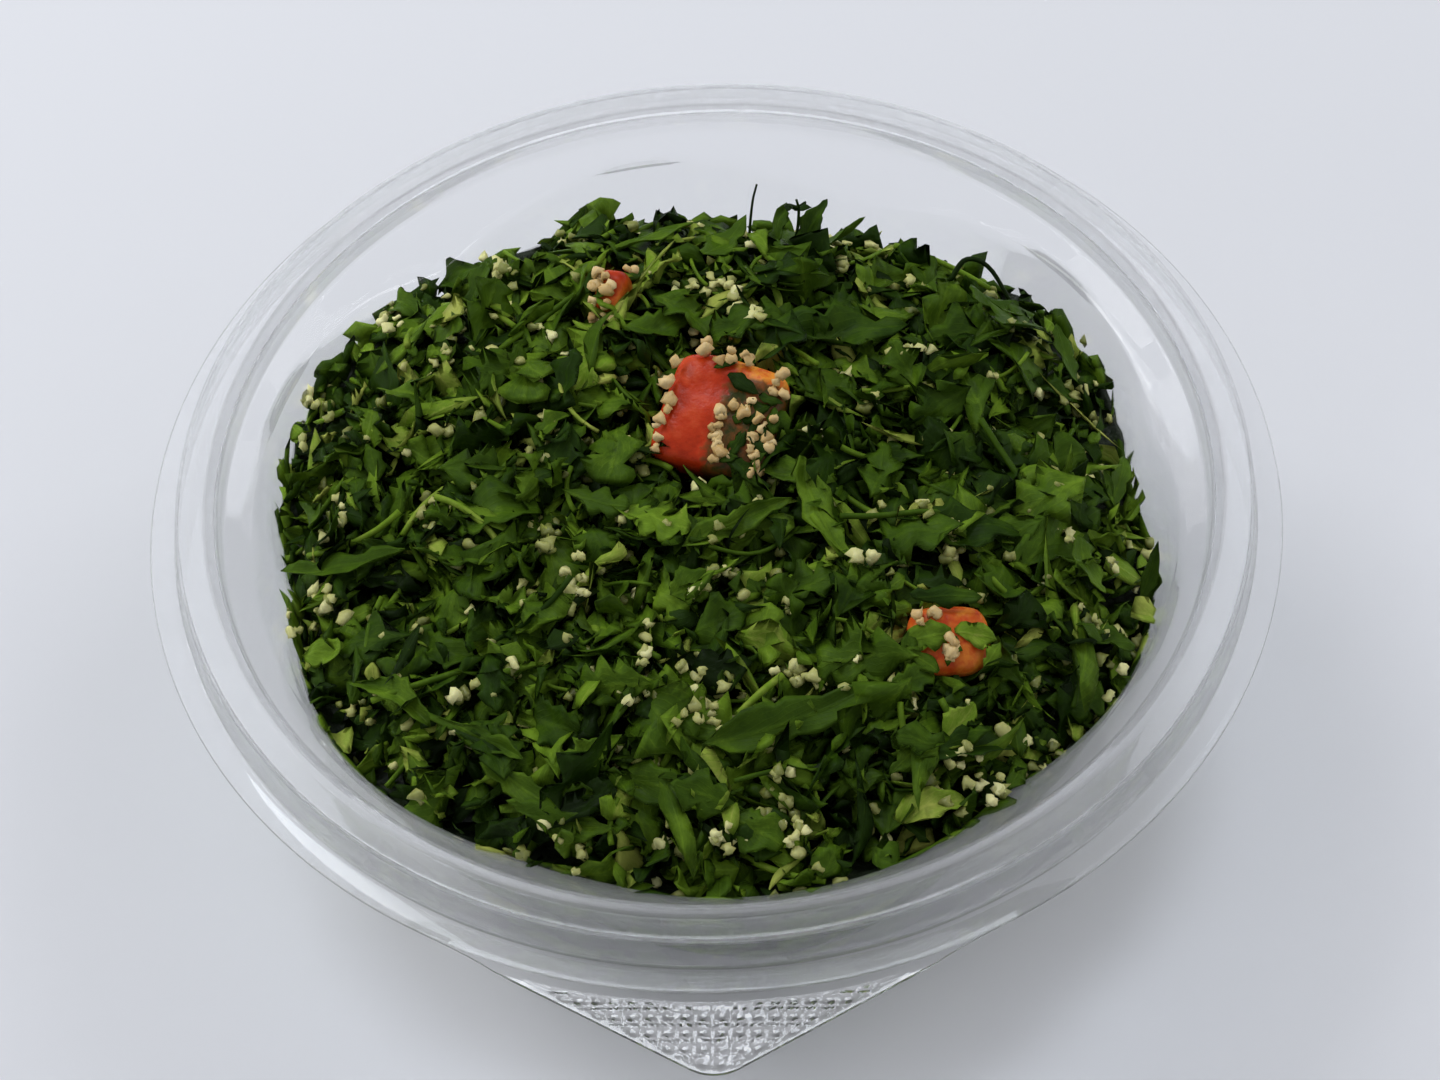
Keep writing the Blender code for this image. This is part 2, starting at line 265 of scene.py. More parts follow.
# %% Wires
class Wire:
    """One output socket that does arithmetic."""

    def __init__(self, finish, socket):
        self.finish = finish
        self.socket = socket

    def maths(self, operation, *values):
        """A Math node with this operation."""
        sockets = dict(enumerate(values))
        return self.finish.node("ShaderNodeMath", {"operation": operation}, sockets)

    def __add__(self, other):
        return self.maths('ADD', self, other)

    def __sub__(self, other):
        return self.maths('SUBTRACT', self, other)

    def __rsub__(self, other):
        return self.maths('SUBTRACT', other, self)

    def __mul__(self, other):
        return self.maths('MULTIPLY', self, other)

    __radd__ = __add__
    __rmul__ = __mul__

    def sine(self):
        """The sine of the value, in radians."""
        return self.maths('SINE', self)

    def size(self):
        """The value without its sign."""
        return self.maths('ABSOLUTE', self)

    def between(self, low, high):
        """0 under low, 1 over high, and eased in between."""
        settings = {"interpolation_type": 'SMOOTHSTEP'}
        return self.finish.node("ShaderNodeMapRange", settings,
                                {"Value": self, "From Min": low, "From Max": high})


# %% Finishes
class Finish:
    """One material under construction."""

    def __init__(self, name):
        self.material = bpy.data.materials.new(name)
        self.material.use_nodes = True
        self.tree = self.material.node_tree
        self.shader = self.tree.nodes["Principled BSDF"]

    def node(self, kind, settings=None, sockets=None, output=0):
        """Add a node: its settings first, then the values or links of its sockets."""
        made = self.tree.nodes.new(kind)
        for key, value in (settings or {}).items():
            if key == "stops":
                self.set_stops(made.color_ramp, value)
            else:
                setattr(made, key, value)
        for key, value in (sockets or {}).items():
            self.feed(made.inputs[key], value)
        return Wire(self, made.outputs[output])

    def set_stops(self, ramp, stops):
        """Fill a colour ramp from (place, colour) pairs."""
        while len(ramp.elements) < len(stops):
            ramp.elements.new(1.0)
        for element, (place, colour) in zip(ramp.elements, stops):
            element.position = place
            element.color = (*colour, 1.0)

    def feed(self, socket, value):
        """Link a wire to a socket, or set the socket's own value."""
        if isinstance(value, Wire):
            self.tree.links.new(value.socket, socket)
        else:
            socket.default_value = value

    def surface(self, **sockets):
        """Set the Principled shader's sockets, with _ for a space in a name."""
        for key, value in sockets.items():
            if isinstance(value, tuple) and len(value) == 3 and "Color" in key:
                value = (*value, 1.0)
            self.feed(self.shader.inputs[key.replace("_", " ")], value)

    def coords(self, kind="Object"):
        """Object or UV coordinates."""
        return self.node("ShaderNodeTexCoord", output=kind)

    def attribute(self, name):
        """A number that the mesh holds per point."""
        return self.node("ShaderNodeAttribute", {"attribute_name": name}, output="Fac")

    def noise(self, scale, detail=3.0, roughness=0.55):
        """A noise texture at a number of bumps per metre."""
        sockets = {"Vector": self.coords(), "Scale": scale,
                   "Detail": detail, "Roughness": roughness}
        return self.node("ShaderNodeTexNoise", None, sockets)

    def ramp(self, share, stops):
        """A colour that runs through stops as share goes from 0 to 1."""
        return self.node("ShaderNodeValToRGB", {"stops": stops}, {"Fac": share})

    def blend(self, share, first, second):
        """Mix two colours."""
        return self.node("ShaderNodeMix", {"data_type": 'RGBA'},
                         {0: share, 6: first, 7: second}, output=2)

    def bumps(self, height, distance, strength=1.0):
        """Feed a height into the shader's normal."""
        made = self.node("ShaderNodeBump", None,
                         {"Height": height, "Distance": distance, "Strength": strength})
        self.surface(Normal=made)


# %% [markdown]
# ## Clear sheet
# The bowl is PET: it bends light like glass, and is so thin that lamps shine
# right through it. Glass alone would cast a dark shadow, because a lamp's ray
# can't find its way through a bend, so shadow rays pass as if through air. A
# sheet this thin also bends light less than a solid, so part of what is behind
# it shows straight.

# %% Clear sheet finish
THIN_SHARE = 0.46


def clear_sheet():
    """Part glass and part plain see-through to the eye, and nearly air to the lamps.

    On the tab's grip it is all glass, so that the buttons show clearly."""
    finish = Finish("clear_sheet")
    finish.surface(Base_Color=(0.99, 0.99, 0.993), Roughness=0.0, IOR=1.5,
                   Transmission_Weight=0.975)
    path = finish.node("ShaderNodeLightPath", output="Is Shadow Ray")
    air = finish.node("ShaderNodeBsdfTransparent", None, {"Color": (0.985, 0.987, 0.99, 1.0)})
    thin = (1.0 - finish.attribute("grip")) * THIN_SHARE
    share = path.maths('MAXIMUM', path, thin)
    glass = Wire(finish, finish.shader.outputs[0])
    both = finish.node("ShaderNodeMixShader", None, {0: share, 1: glass, 2: air})
    finish.feed(finish.tree.nodes["Material Output"].inputs["Surface"], both)
    return finish.material


# %% [markdown]
# ## The bowl
# The real bowl is one thin sheet of clear plastic, pressed over a mould. A
# profile turned with a Screw modifier and thickened with Solidify would do
# for a round bowl, but this one has six lobes and a tab, so its section
# changes on the way round. It is therefore one surface with two parameters:
# the azimuth, and the way along the section from the flange's edge to the
# middle of the base. The section is a polyline of straight runs, smoothed so
# that every bend is rounded as the press rounds it. The tab gets its grip,
# small round buttons between low ribs. A second copy half a millimetre below
# closes the sheet.

# %% Section of the bowl
SECTION_STEP = 0.15 * MM
WALL_ROWS = 260
FLOOR_ROWS = 240


def run_along(corners):
    """Points every SECTION_STEP along a polyline of (radius, height) corners."""
    corners = np.array(corners)
    lengths = np.hypot(*np.diff(corners, axis=0).T)
    way = np.concatenate([[0.0], np.cumsum(lengths)])
    count = int(round(way[-1] / SECTION_STEP)) + 1
    at = np.linspace(0.0, way[-1], count)
    return np.stack([np.interp(at, way, corners[:, k]) for k in (0, 1)], axis=1)


def rim_section():
    """Flange, step up, flat rim, step down, and the sloping ledge."""
    top = BOWL_HEIGHT
    return run_along([
        (74.2 * MM, FLANGE), (71.75 * MM, FLANGE),
        (71.2 * MM, top), (65.7 * MM, top - 0.1 * MM),
        (65.2 * MM, top - 3.2 * MM), (CAVITY_RADIUS, LEDGE_FOOT)])


def cavity_section(azimuths):
    """Wall and floor for each azimuth: (azimuth, place along the section, 2)."""
    depth = np.linspace(0.0, 1.0, WALL_ROWS)**0.8 * CAVITY_DEPTH
    radius = inner_radius(azimuths[:, None], depth[None, :])
    height = np.broadcast_to(LEDGE_FOOT - depth, radius.shape)
    wall = np.stack([radius, height], axis=2)[:, 1:]
    edge = wall[:, -1, 0]
    reach = np.linspace(1.0, 0.0, FLOOR_ROWS)[1:]
    floor_radius = edge[:, None] * reach
    floor = np.stack([floor_radius, floor_height(floor_radius)], axis=2)
    return np.concatenate([wall, floor], axis=1)


# %% Bends and rows
EASE_WIDTH = 2
EASE_TIMES = 2
SECTION_ROWS = 100
BEND_WEIGHT = 14.0 * MM


def eased(line, width=EASE_WIDTH):
    """A running mean along axis 1, which rounds the bends, with its ends held."""
    for _ in range(EASE_TIMES):
        padded = np.concatenate([np.repeat(line[:, :1], width, axis=1), line,
                                 np.repeat(line[:, -1:], width, axis=1)], axis=1)
        total = np.cumsum(padded, axis=1)
        mean = (total[:, 2 * width:] - total[:, :-2 * width]) / (2 * width)
        mean = mean[:, :line.shape[1]]
        mean[:, :1] = line[:, :1]
        mean[:, -1:] = line[:, -1:]
        line = mean
    return line


def best_rows(line):
    """Numbers of the rows to keep: even steps, packed closer where it bends.

    A row's weight is its length plus BEND_WEIGHT times its turn in radians."""
    steps = np.diff(line, axis=1)
    length = np.hypot(steps[..., 0], steps[..., 1]).mean(axis=0)
    angle = np.unwrap(np.arctan2(steps[..., 1], steps[..., 0]), axis=1)
    turn = np.abs(np.diff(angle, axis=1)).mean(axis=0)
    weight = length + BEND_WEIGHT * np.concatenate([[0.0], turn])
    way = np.concatenate([[0.0], np.cumsum(weight)])
    rows = np.searchsorted(way, np.linspace(0.0, way[-1], SECTION_ROWS))
    return np.unique(np.clip(rows, 0, line.shape[1] - 1))


# %% Grip on the tab
# the button's radius and the rib's width are in squares of the grid
GRIP_X = 2.22 * MM
GRIP_Y = 2.35 * MM
GRIP_START = 1.9 * MM
GRIP_HEIGHT = 0.27 * MM
BUTTON_RADIUS = 0.36
RIB_WIDTH = 0.18
RIB_SHARE = 0.7
TAB_STEP = 76.2 * MM
TAB_DROP = 0.6 * MM
TAB_BORDER = 0.3 * MM
TAB_FADE = 0.8 * MM


def grip(x, y):
    """Height of the grip: round buttons in the squares of a grid of low ribs.

    A button is H (1 - (d / r)^4) at the distance d from its middle, in squares,
    and a rib is a cosine bump along the square's edge. Both fade towards the
    tab's step and its outline."""
    u = np.abs(x / GRIP_X - np.round(x / GRIP_X))
    row = (y + TAB_STEP + GRIP_START) / GRIP_Y
    v = np.abs(row - np.round(row))
    button = np.clip(1.0 - (np.hypot(u, v) / BUTTON_RADIUS)**4, 0.0, 1.0)
    from_edge = np.clip((0.5 - np.maximum(u, v)) / RIB_WIDTH, 0.0, 1.0)
    rib = 0.5 + 0.5 * np.cos(np.pi * from_edge)
    radius = np.hypot(x, y)
    outline = flange_outline(np.degrees(np.arctan2(y, x)))
    inner = np.clip((radius - TAB_STEP) / TAB_BORDER, 0.0, 1.0)
    outer = np.clip((outline - TAB_BORDER - radius) / TAB_FADE, 0.0, 1.0)
    return GRIP_HEIGHT * np.maximum(button, rib * RIB_SHARE) * inner * outer


# %% Upper face of the sheet
# columns and the tab's half width are in degrees
TAB_COLUMN = 0.225
FAR_COLUMN = 1.45
TAB_HALF = 15.5
TAB_ROWS = 34


def bowl_columns():
    """Azimuths of the columns: close together across the tab, wider elsewhere."""
    near = np.arange(-TAB_HALF, TAB_HALF, TAB_COLUMN)
    far = 360.0 - 2 * TAB_HALF
    rest = np.linspace(TAB_HALF, TAB_HALF + far, int(far / FAR_COLUMN))[:-1]
    return TAB_AZIMUTH + np.concatenate([near, rest])


def surface_normals(points):
    """Unit normals of a grid whose rows run inwards and whose columns go round."""
    across = np.roll(points, -1, axis=1) - np.roll(points, 1, axis=1)
    along = np.gradient(points, axis=0)
    return unit(np.cross(across, along))


def bowl_surface(azimuths):
    """The sheet's upper face as (row, column, 3), and the grip's height on it."""
    rim = rim_section()
    rim = np.broadcast_to(rim, (len(azimuths), *rim.shape))
    line = eased(np.concatenate([rim, cavity_section(azimuths)], axis=1))
    line = line[:, best_rows(line)][:, :-1]
    start = line[0, 0, 0]
    tab = np.linspace(1.0, 0.0, TAB_ROWS)[:-1, None]
    outer = start + (flange_outline(azimuths) - start) * tab
    radius = np.concatenate([outer, line[:, :, 0].T], axis=0)
    step = np.clip((radius - FLANGE_RADIUS) / (TAB_STEP - FLANGE_RADIUS), 0.0, 1.0)
    drop = TAB_DROP * step * step * (3.0 - 2.0 * step)
    height = np.concatenate([np.full(outer.shape, FLANGE), line[:, :, 1].T], axis=0) - drop
    points = polar(radius, np.radians(azimuths), height)
    raised = grip(points[..., 0], points[..., 1]) * (radius > FLANGE_RADIUS)
    return points, raised


# %% Close the sheet
EDGE_BULGE = 0.15 * MM


def make_bowl(finish):
    """Two copies of the surface, half a millimetre apart, joined at the edge.

    Returns a search tree of the upper one, which the salad touches."""
    azimuths = bowl_columns()
    upper, raised = bowl_surface(azimuths)
    rows, columns = upper.shape[:2]
    normal = surface_normals(upper)
    lower = upper - normal * SHEET
    upper = upper + normal * raised[..., None]
    outward = heading(np.radians(azimuths))
    edge = (upper[0] + lower[0]) / 2 + outward * EDGE_BULGE
    poles = np.array([[0.0, 0.0, SHEET], [0.0, 0.0, 0.0]])
    points = np.concatenate([upper.reshape(-1, 3), lower.reshape(-1, 3), edge, poles])
    count = rows * columns
    first = np.arange(columns)
    after = np.roll(first, -1)
    last = (rows - 1) * columns + first
    middle = 2 * count
    above = np.stack([middle + first, middle + after, after, first], axis=1)
    below = np.stack([count + first, count + after, middle + after, middle + first], axis=1)
    quads = grid_quads(rows, columns, wrap=True)
    faces = [quads, quads[:, ::-1] + count, above, below,
             fan(last, middle + columns),
             fan(last + count, middle + columns + 1, flip=True)]
    reach = np.hypot(points[:, 0], points[:, 1])
    on_grip = (reach > TAB_STEP) & (points[:, 1] < 0)
    piece = new_piece("clear_bowl", points, faces, finish,
                      {"grip": on_grip * 1.0}, facets=on_grip)
    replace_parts(piece, "bowl")
    return BVHTree.FromPolygons(points[:count].tolist(), quads.tolist())


inner_face = make_bowl(clear_sheet())

# %% [markdown]
# ## Where the salad lies
# The frame's heap gives the height of the salad everywhere. Each leaf could
# ask the heap's mesh where it lies, but there are thousands of them. So rays
# dropped on the heap fill a table once, and all that lies on it reads its
# height and its slope from that table. The clear wall stops anything that
# would stick out sideways.

# %% Heights of the heap
CELL = 1.0 * MM
HALF_CELLS = 66
heap_tree = BVHTree.FromObject(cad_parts["salad"], bpy.context.evaluated_depsgraph_get())


def heap_table():
    """Height of the heap on a square lattice, with the edge's height beyond it.

    A place that no ray hits takes the mean of its known neighbours, round by round."""
    ticks = np.arange(-HALF_CELLS, HALF_CELLS + 1) * CELL
    table = np.full((len(ticks), len(ticks)), np.nan)
    for i, x in enumerate(ticks):
        for j, y in enumerate(ticks):
            hit = heap_tree.ray_cast(Vector((x, y, 0.1)), Vector((0, 0, -1)))[0]
            if hit is not None:
                table[i, j] = hit.z
    while np.isnan(table).any():
        padded = np.pad(table, 1, constant_values=np.nan)
        around = np.stack([padded[:-2, 1:-1], padded[2:, 1:-1], padded[1:-1, :-2],
                           padded[1:-1, 2:]])
        known = ~np.isnan(around)
        mean = np.where(known, around, 0.0).sum(axis=0) / np.maximum(known.sum(axis=0), 1)
        table = np.where(np.isnan(table) & known.any(axis=0), mean, table)
    return table


HEIGHTS = heap_table()
print("heap from", round(HEIGHTS.min(), 4), "to", round(HEIGHTS.max(), 4))

# %% Height and slope at any place
SLOPE_STEP = 2 * MM


def heap_height(x, y):
    """Height of the heap's surface at (x, y), bilinear in the table."""
    u = np.clip(x / CELL + HALF_CELLS, 0, 2 * HALF_CELLS - 1e-6)
    v = np.clip(y / CELL + HALF_CELLS, 0, 2 * HALF_CELLS - 1e-6)
    i, j = np.floor(u).astype(int), np.floor(v).astype(int)
    f, g = u - i, v - j
    low = HEIGHTS[i, j] * (1 - f) + HEIGHTS[i + 1, j] * f
    high = HEIGHTS[i, j + 1] * (1 - f) + HEIGHTS[i + 1, j + 1] * f
    return low * (1 - g) + high * g


def clumps(x, y):
    """Height by which the leaves stand above or below the heap's smooth surface."""
    place = np.stack([x, y, np.zeros_like(x)], axis=-1)
    coarse = smooth_noise(place, 5 * MM, 3)
    fine = smooth_noise(place, 2.2 * MM, 4)
    return 2.1 * MM * coarse + 1.1 * MM * fine


def heap_normal(x, y):
    """Unit normal of the heap's surface, from its slopes over two steps."""
    step = SLOPE_STEP
    dx = (heap_height(x + step, y) - heap_height(x - step, y)) / (2 * step)
    dy = (heap_height(x, y + step) - heap_height(x, y - step)) / (2 * step)
    return unit(np.stack([-dx, -dy, np.ones_like(dx)], axis=-1))


# %% Edge of the heap and limit of the wall
EDGE_GUESS = 58 * MM
EDGE_ROUNDS = 4
SINK_IN = 0.15 * MM
LEDGE_RISE = 2.0 * MM
LEDGE_RUN = 1.9


def edge_radius(azimuths):
    """Radius where the heap meets the wall, for each azimuth.

    The height at a radius gives the wall's radius there, and so on in rounds."""
    radius = np.full(np.shape(azimuths), EDGE_GUESS)
    angle = np.radians(azimuths)
    for _ in range(EDGE_ROUNDS):
        height = heap_height(radius * np.cos(angle), radius * np.sin(angle))
        radius = wall_radius(azimuths, LEDGE_FOOT - height)
    return radius


def hold_in(points):
    """Push points that stick through the clear sheet back to its inner face.

    They may sink into it by SINK_IN. Over the foot of the ledge the limit grows
    by LEDGE_RUN times the rise."""
    radius = np.hypot(points[..., 0], points[..., 1])
    azimuth = np.degrees(np.arctan2(points[..., 1], points[..., 0]))
    height = np.maximum(points[..., 2], floor_height(radius) - SINK_IN)
    depth = LEDGE_FOOT - height
    on_ledge = np.clip(-depth, 0.0, LEDGE_RISE) * LEDGE_RUN
    limit = inner_radius(azimuth, depth) + SINK_IN + on_ledge
    share = np.minimum(1.0, limit / np.maximum(radius, 1e-9))
    return np.stack([points[..., 0] * share, points[..., 1] * share, height], axis=-1)


heap_edge = edge_radius(np.arange(0.0, 360.0, 10.0))
print("heap's edge from", round(heap_edge.min(), 4), "to", round(heap_edge.max(), 4))

# %% [markdown]
# ## Leaves
# Real tabbouleh is parsley chopped by hand: pointed scraps, narrow shreds and
# bits of whole lobes. A few modelled leaves could be scattered many times
# over, but the eye soon finds the copies. So one function makes any number of
# them as thin closed lenses, in one go for each kind, and every leaf has its
# own length, outline, bend, fold and twist.

# %% Leaf finish
def leaf_finish():
    """Green that differs from leaf to leaf, paler ribs, and a damp sheen.

    The ramp's brightest yellow-greens are partly paler leaves and partly
    painted light that shines through thin leaves.
    """
    finish = Finish("herbs")
    tone = finish.attribute("tone")
    broad = finish.noise(150.0, 2.0)
    mottle = finish.noise(420.0, 4.0)
    grain = finish.noise(1900.0, 3.0, 0.6)
    surface = finish.coords("UV")
    across = finish.node("ShaderNodeSeparateXYZ", None, {0: surface}, output=0)
    along = finish.node("ShaderNodeSeparateXYZ", None, {0: surface}, output=1)
    aside = (across - 0.5).size()
    rib = 1.0 - aside.between(0.02, 0.07)
    veins = (along * 44.0 - aside * 50.0).sine().between(0.75, 1.0)
    shade = tone + (mottle - 0.5) * 0.30 + (grain - 0.5) * 0.14
    shade = shade + rib * 0.06 + veins * 0.04 + (broad - 0.5) * 0.45
    # the bright yellow-green end is partly paler leaves and partly painted light through thin
    # leaves
    colour = finish.ramp(shade, [
        (0.0, (0.006, 0.015, 0.001)), (0.28, (0.016, 0.040, 0.002)),
        (0.52, (0.050, 0.100, 0.005)), (0.75, (0.135, 0.230, 0.015)),
        (1.0, (0.36, 0.40, 0.08))])
    rough = finish.noise(650.0, 2.0)
    finish.surface(Base_Color=colour, Roughness=rough * 0.3 + 0.34, Specular_IOR_Level=0.10)
    finish.bumps(mottle * 0.5 + grain * 0.3 + rib * 0.3 + veins * 0.15, 0.25 * MM, 0.6)
    return finish.material


HERBS = leaf_finish()

# %% Outline of a leaf
def lens_grid(rows, columns):
    """Quads of a closed lens: two faces that share the border of one grid."""
    top = np.arange(rows * columns).reshape(rows, columns)
    under = top.copy()
    inner = np.arange((rows - 2) * (columns - 2)).reshape(rows - 2, columns - 2)
    under[1:-1, 1:-1] = rows * columns + inner
    quads = grid_quads(rows, columns)
    return np.concatenate([top.ravel()[quads][:, ::-1], under.ravel()[quads]])


def draw(rng, low_high, count):
    """A random number for each leaf, shaped to spread over the leaf's grid."""
    return rng.uniform(*low_high, count)[:, None, None]


def leaf_outline(rng, t, s, widths, style):
    """Half width of leaves over their grid: (leaf, row, column).

    At t it is b + (1 - b) (t / a)^p up to the widest place a, where b is the
    cut end, then the same towards the tip, times the teeth and the lobes
    |cos(k t + c)|."""
    n = len(widths)
    widest, blunt, point, stub, snip = (
        draw(rng, style[key], n) for key in ("widest", "blunt", "point", "stub", "snip"))
    snip = np.clip(snip, 0.0, None)
    rise = stub + (1 - stub) * np.clip(t / widest, 1e-4, 1.0)**blunt
    fall = snip + (1 - snip) * np.clip((1 - t) / (1 - widest), 1e-4, 1.0)**point
    half = np.where(t < widest, rise, fall) * widths[:, None, None] / 2
    teeth = 1.0 + style["teeth"] * rng.uniform(-1.0, 1.0, (n, t.shape[1], 2))
    lobes, start = draw(rng, style["lobes"], n), draw(rng, (0, 3.1), n)
    notch = np.abs(np.cos(lobes * t + start + 0.9 * (s < 0)))**0.8
    half = half * (1.0 - style["notch"] * (1.0 - notch))
    return half * np.where(s < 0, teeth[:, :, :1], teeth[:, :, 1:])


# %% Bend and twist of a leaf
def leaf_surface(rng, t, s, half, lengths, style):
    """Leaves on their own axes, bent and twisted: (leaf, row, column, 3).

    A leaf bends to an arc along its length, folds along its midrib, waves a
    little, and twists about its midrib."""
    n = len(lengths)
    length = lengths[:, None, None]
    slant = t + 0.5 * draw(rng, style["slant"], n) * s * (1 - t)
    slant = slant + style["swept"] * np.abs(s) * (1 - t)
    across = s * half + draw(rng, style["sweep"], n) * length * (t - 0.5)**2
    bend = draw(rng, style["bend"], n) * rng.choice([1.0, -0.5], (n, 1, 1))
    bend = np.where(np.abs(bend) < 0.02, 0.02, bend)
    turn = bend * (slant - 0.5)
    along = length * np.sin(turn) / bend
    lift = length * (np.cos(turn) - 1.0) / bend
    lift = lift + draw(rng, style["fold"], n) * np.abs(s) * half
    waves = np.sin(9 * t + draw(rng, (0, 6.3), n)) * np.sin(2.5 * s + draw(rng, (0, 6.3), n))
    lift = lift + draw(rng, style["wave"], n) * waves * half
    twist = draw(rng, style["twist"], n) * rng.choice([-1.0, 1.0], (n, 1, 1)) * (t - 0.5)
    side = across * np.cos(twist) - lift * np.sin(twist) * 0.3
    up = lift + across * np.sin(twist)
    return np.stack(np.broadcast_arrays(along, side, up), axis=-1)


# %% Leaves where they lie
def leaf_points(rng, centres, normals, azimuths, lengths, widths, grid, style):
    """Points of many leaves: (leaf, point, 3), and their places on the leaf.

    Each leaf lies about its centre, its length along the azimuth and its upper
    face towards the normal. The under face is a copy a little lower."""
    rows, columns = grid
    n = len(centres)
    t = np.linspace(0.0, 1.0, rows)[None, :, None]
    s = np.linspace(-1.0, 1.0, columns)[None, None, :]
    half = leaf_outline(rng, t, s, widths, style)
    local = leaf_surface(rng, t, s, half, lengths, style)
    third = unit(normals)
    first = in_plane(heading(azimuths), third)
    basis = np.stack([first, np.cross(third, first), third], axis=1)
    top = np.einsum("nrck,nkj->nrcj", local, basis) + centres[:, None, None, :]
    under = top[:, 1:-1, 1:-1] - style["thick"] * third[:, None, None, :]
    points = np.concatenate([top.reshape(n, -1, 3), under.reshape(n, -1, 3)], axis=1)
    place = np.stack(np.broadcast_arrays(s * 0.5 + 0.5, t), axis=-1)[0]
    place = np.concatenate([place.reshape(-1, 2), place[1:-1, 1:-1].reshape(-1, 2)])
    return points, np.broadcast_to(place, (n, *place.shape))


def leaves_piece(name, points, place, grid, tones):
    """One mesh from the points of many leaves, with a tone for each leaf."""
    n, stride = points.shape[:2]
    faces = [repeat_faces(lens_grid(*grid), n, stride)]
    values = {"tone": np.repeat(tones, stride)}
    return new_piece(name, points, faces, HERBS, values, place)


# %% Even places
GOLDEN = math.radians(137.50776)


def spread(rng, count, start, jitter=1.2 * MM, reach=1.0):
    """Even places over the heap: a golden angle spiral, shaken a little.

    The n-th lies at the share reach sqrt(n / count) of the way to the wall."""
    order = np.arange(count) + 0.5
    share = np.sqrt(reach**2 * order / count)
    azimuth = start + order * GOLDEN
    radius = share * edge_radius(np.degrees(azimuth))
    x = radius * np.cos(azimuth) + rng.normal(0, jitter, count)
    y = radius * np.sin(azimuth) + rng.normal(0, jitter, count)
    return x, y


# x, y and radius of the clearings where the tomato lies bare
CLEARINGS = [(1.0, 12.5, 8.0), (30.6, -24.3, 5.0), (-14.2, 34.6, 3.2), (-3.0, 3.0, 4.0),
             (4.0, 3.0, 3.5)]


def in_the_open(x, y):
    """True for places outside every clearing."""
    free = np.ones(len(x), dtype=bool)
    for cx, cy, radius in CLEARINGS:
        free &= np.hypot(x - cx * MM, y - cy * MM) > radius * MM
    return free


# %% Leaves over the whole heap
STEEPEST = 1.35
BURIED = -2 * MM


def tipped(rng, normals, tilt):
    """Normals leaned over by random angles with this spread, in radians."""
    n = len(normals)
    lean = in_plane(unit(rng.normal(size=(n, 3))), normals)
    angle = np.clip(np.abs(rng.normal(0, tilt, n)), 0, STEEPEST)[:, None]
    return normals * np.cos(angle) + lean * np.sin(angle)


def random_tones(rng, mean, deviation, count):
    """Tones between 0 and 1, normally spread about a mean."""
    return np.clip(rng.normal(mean, deviation, count), 0.0, 1.0)


def scatter(name, style, count, seed, grid, length, width, layer, tilt, tone, reach=1.0):
    """Leaves of one kind over the whole heap, as one piece.

    The lengths and the layer over the heap's surface are in millimetres, the
    width is a share of the length, and the tone is a mean and a deviation."""
    rng = np.random.default_rng(seed)
    x, y = spread(rng, count, seed, reach=reach)
    low, high = (v * MM for v in layer)
    short, long = (v * MM for v in length)
    free = in_the_open(x, y) | (high < BURIED)
    x, y, count = x[free], y[free], int(free.sum())
    height = heap_height(x, y) + clumps(x, y) + rng.uniform(low, high, count)
    centres = np.stack([x, y, height], axis=1)
    lengths = short + (long - short) * rng.beta(1.6, 2.6, count)
    widths = lengths * rng.uniform(*width, count)
    normals = tipped(rng, heap_normal(x, y), tilt)
    azimuths = rng.uniform(0, 2 * math.pi, count)
    points, place = leaf_points(rng, centres, normals, azimuths, lengths, widths, grid, style)
    return leaves_piece(name, hold_in(points), place, grid, random_tones(rng, *tone, count))


# %% Kinds of scraps
# Pairs are the limits of random numbers. widest, blunt, point, stub, snip, lobes,
# teeth and notch shape the outline, and the rest bends and turns the leaf.
PIECE = {"widest": (0.2, 0.75), "blunt": (0.15, 0.7), "point": (0.35, 1.1),
         "stub": (0.1, 1.0), "snip": (-0.4, 0.9), "lobes": (1.5, 6.0),
         "teeth": 0.25, "notch": 0.45, "swept": 0.08, "slant": (-0.9, 0.9),
         "sweep": (-0.3, 0.3), "bend": (0.2, 1.8), "fold": (-0.5, 0.8),
         "wave": (0.0, 0.5), "twist": (0.0, 1.0), "thick": 0.18 * MM}
LOBED = {**PIECE, "widest": (0.3, 0.6), "blunt": (0.3, 0.8), "point": (0.5, 0.9),
         "lobes": (6.0, 9.0), "teeth": 0.12, "notch": 0.75, "swept": 0.28,
         "slant": (-0.1, 0.1), "bend": (0.2, 1.3), "fold": (-0.2, 0.5)}
SHRED = {**PIECE, "teeth": 0.3, "bend": (0.0, 1.0), "thick": 0.22 * MM}
BLADE = {**PIECE, "widest": (0.2, 0.5), "blunt": (0.3, 0.8), "point": (0.6, 1.1),
         "stub": (0.0, 0.4), "snip": (-0.6, 0.1), "teeth": 0.08, "notch": 0.1,
         "sweep": (-0.5, 0.5), "bend": (0.2, 1.4)}
CUT = {**PIECE, "widest": (0.3, 0.7), "blunt": (0.05, 0.2), "point": (0.08, 0.3),
       "teeth": 0.06, "notch": 0.1, "bend": (0.1, 0.8)}
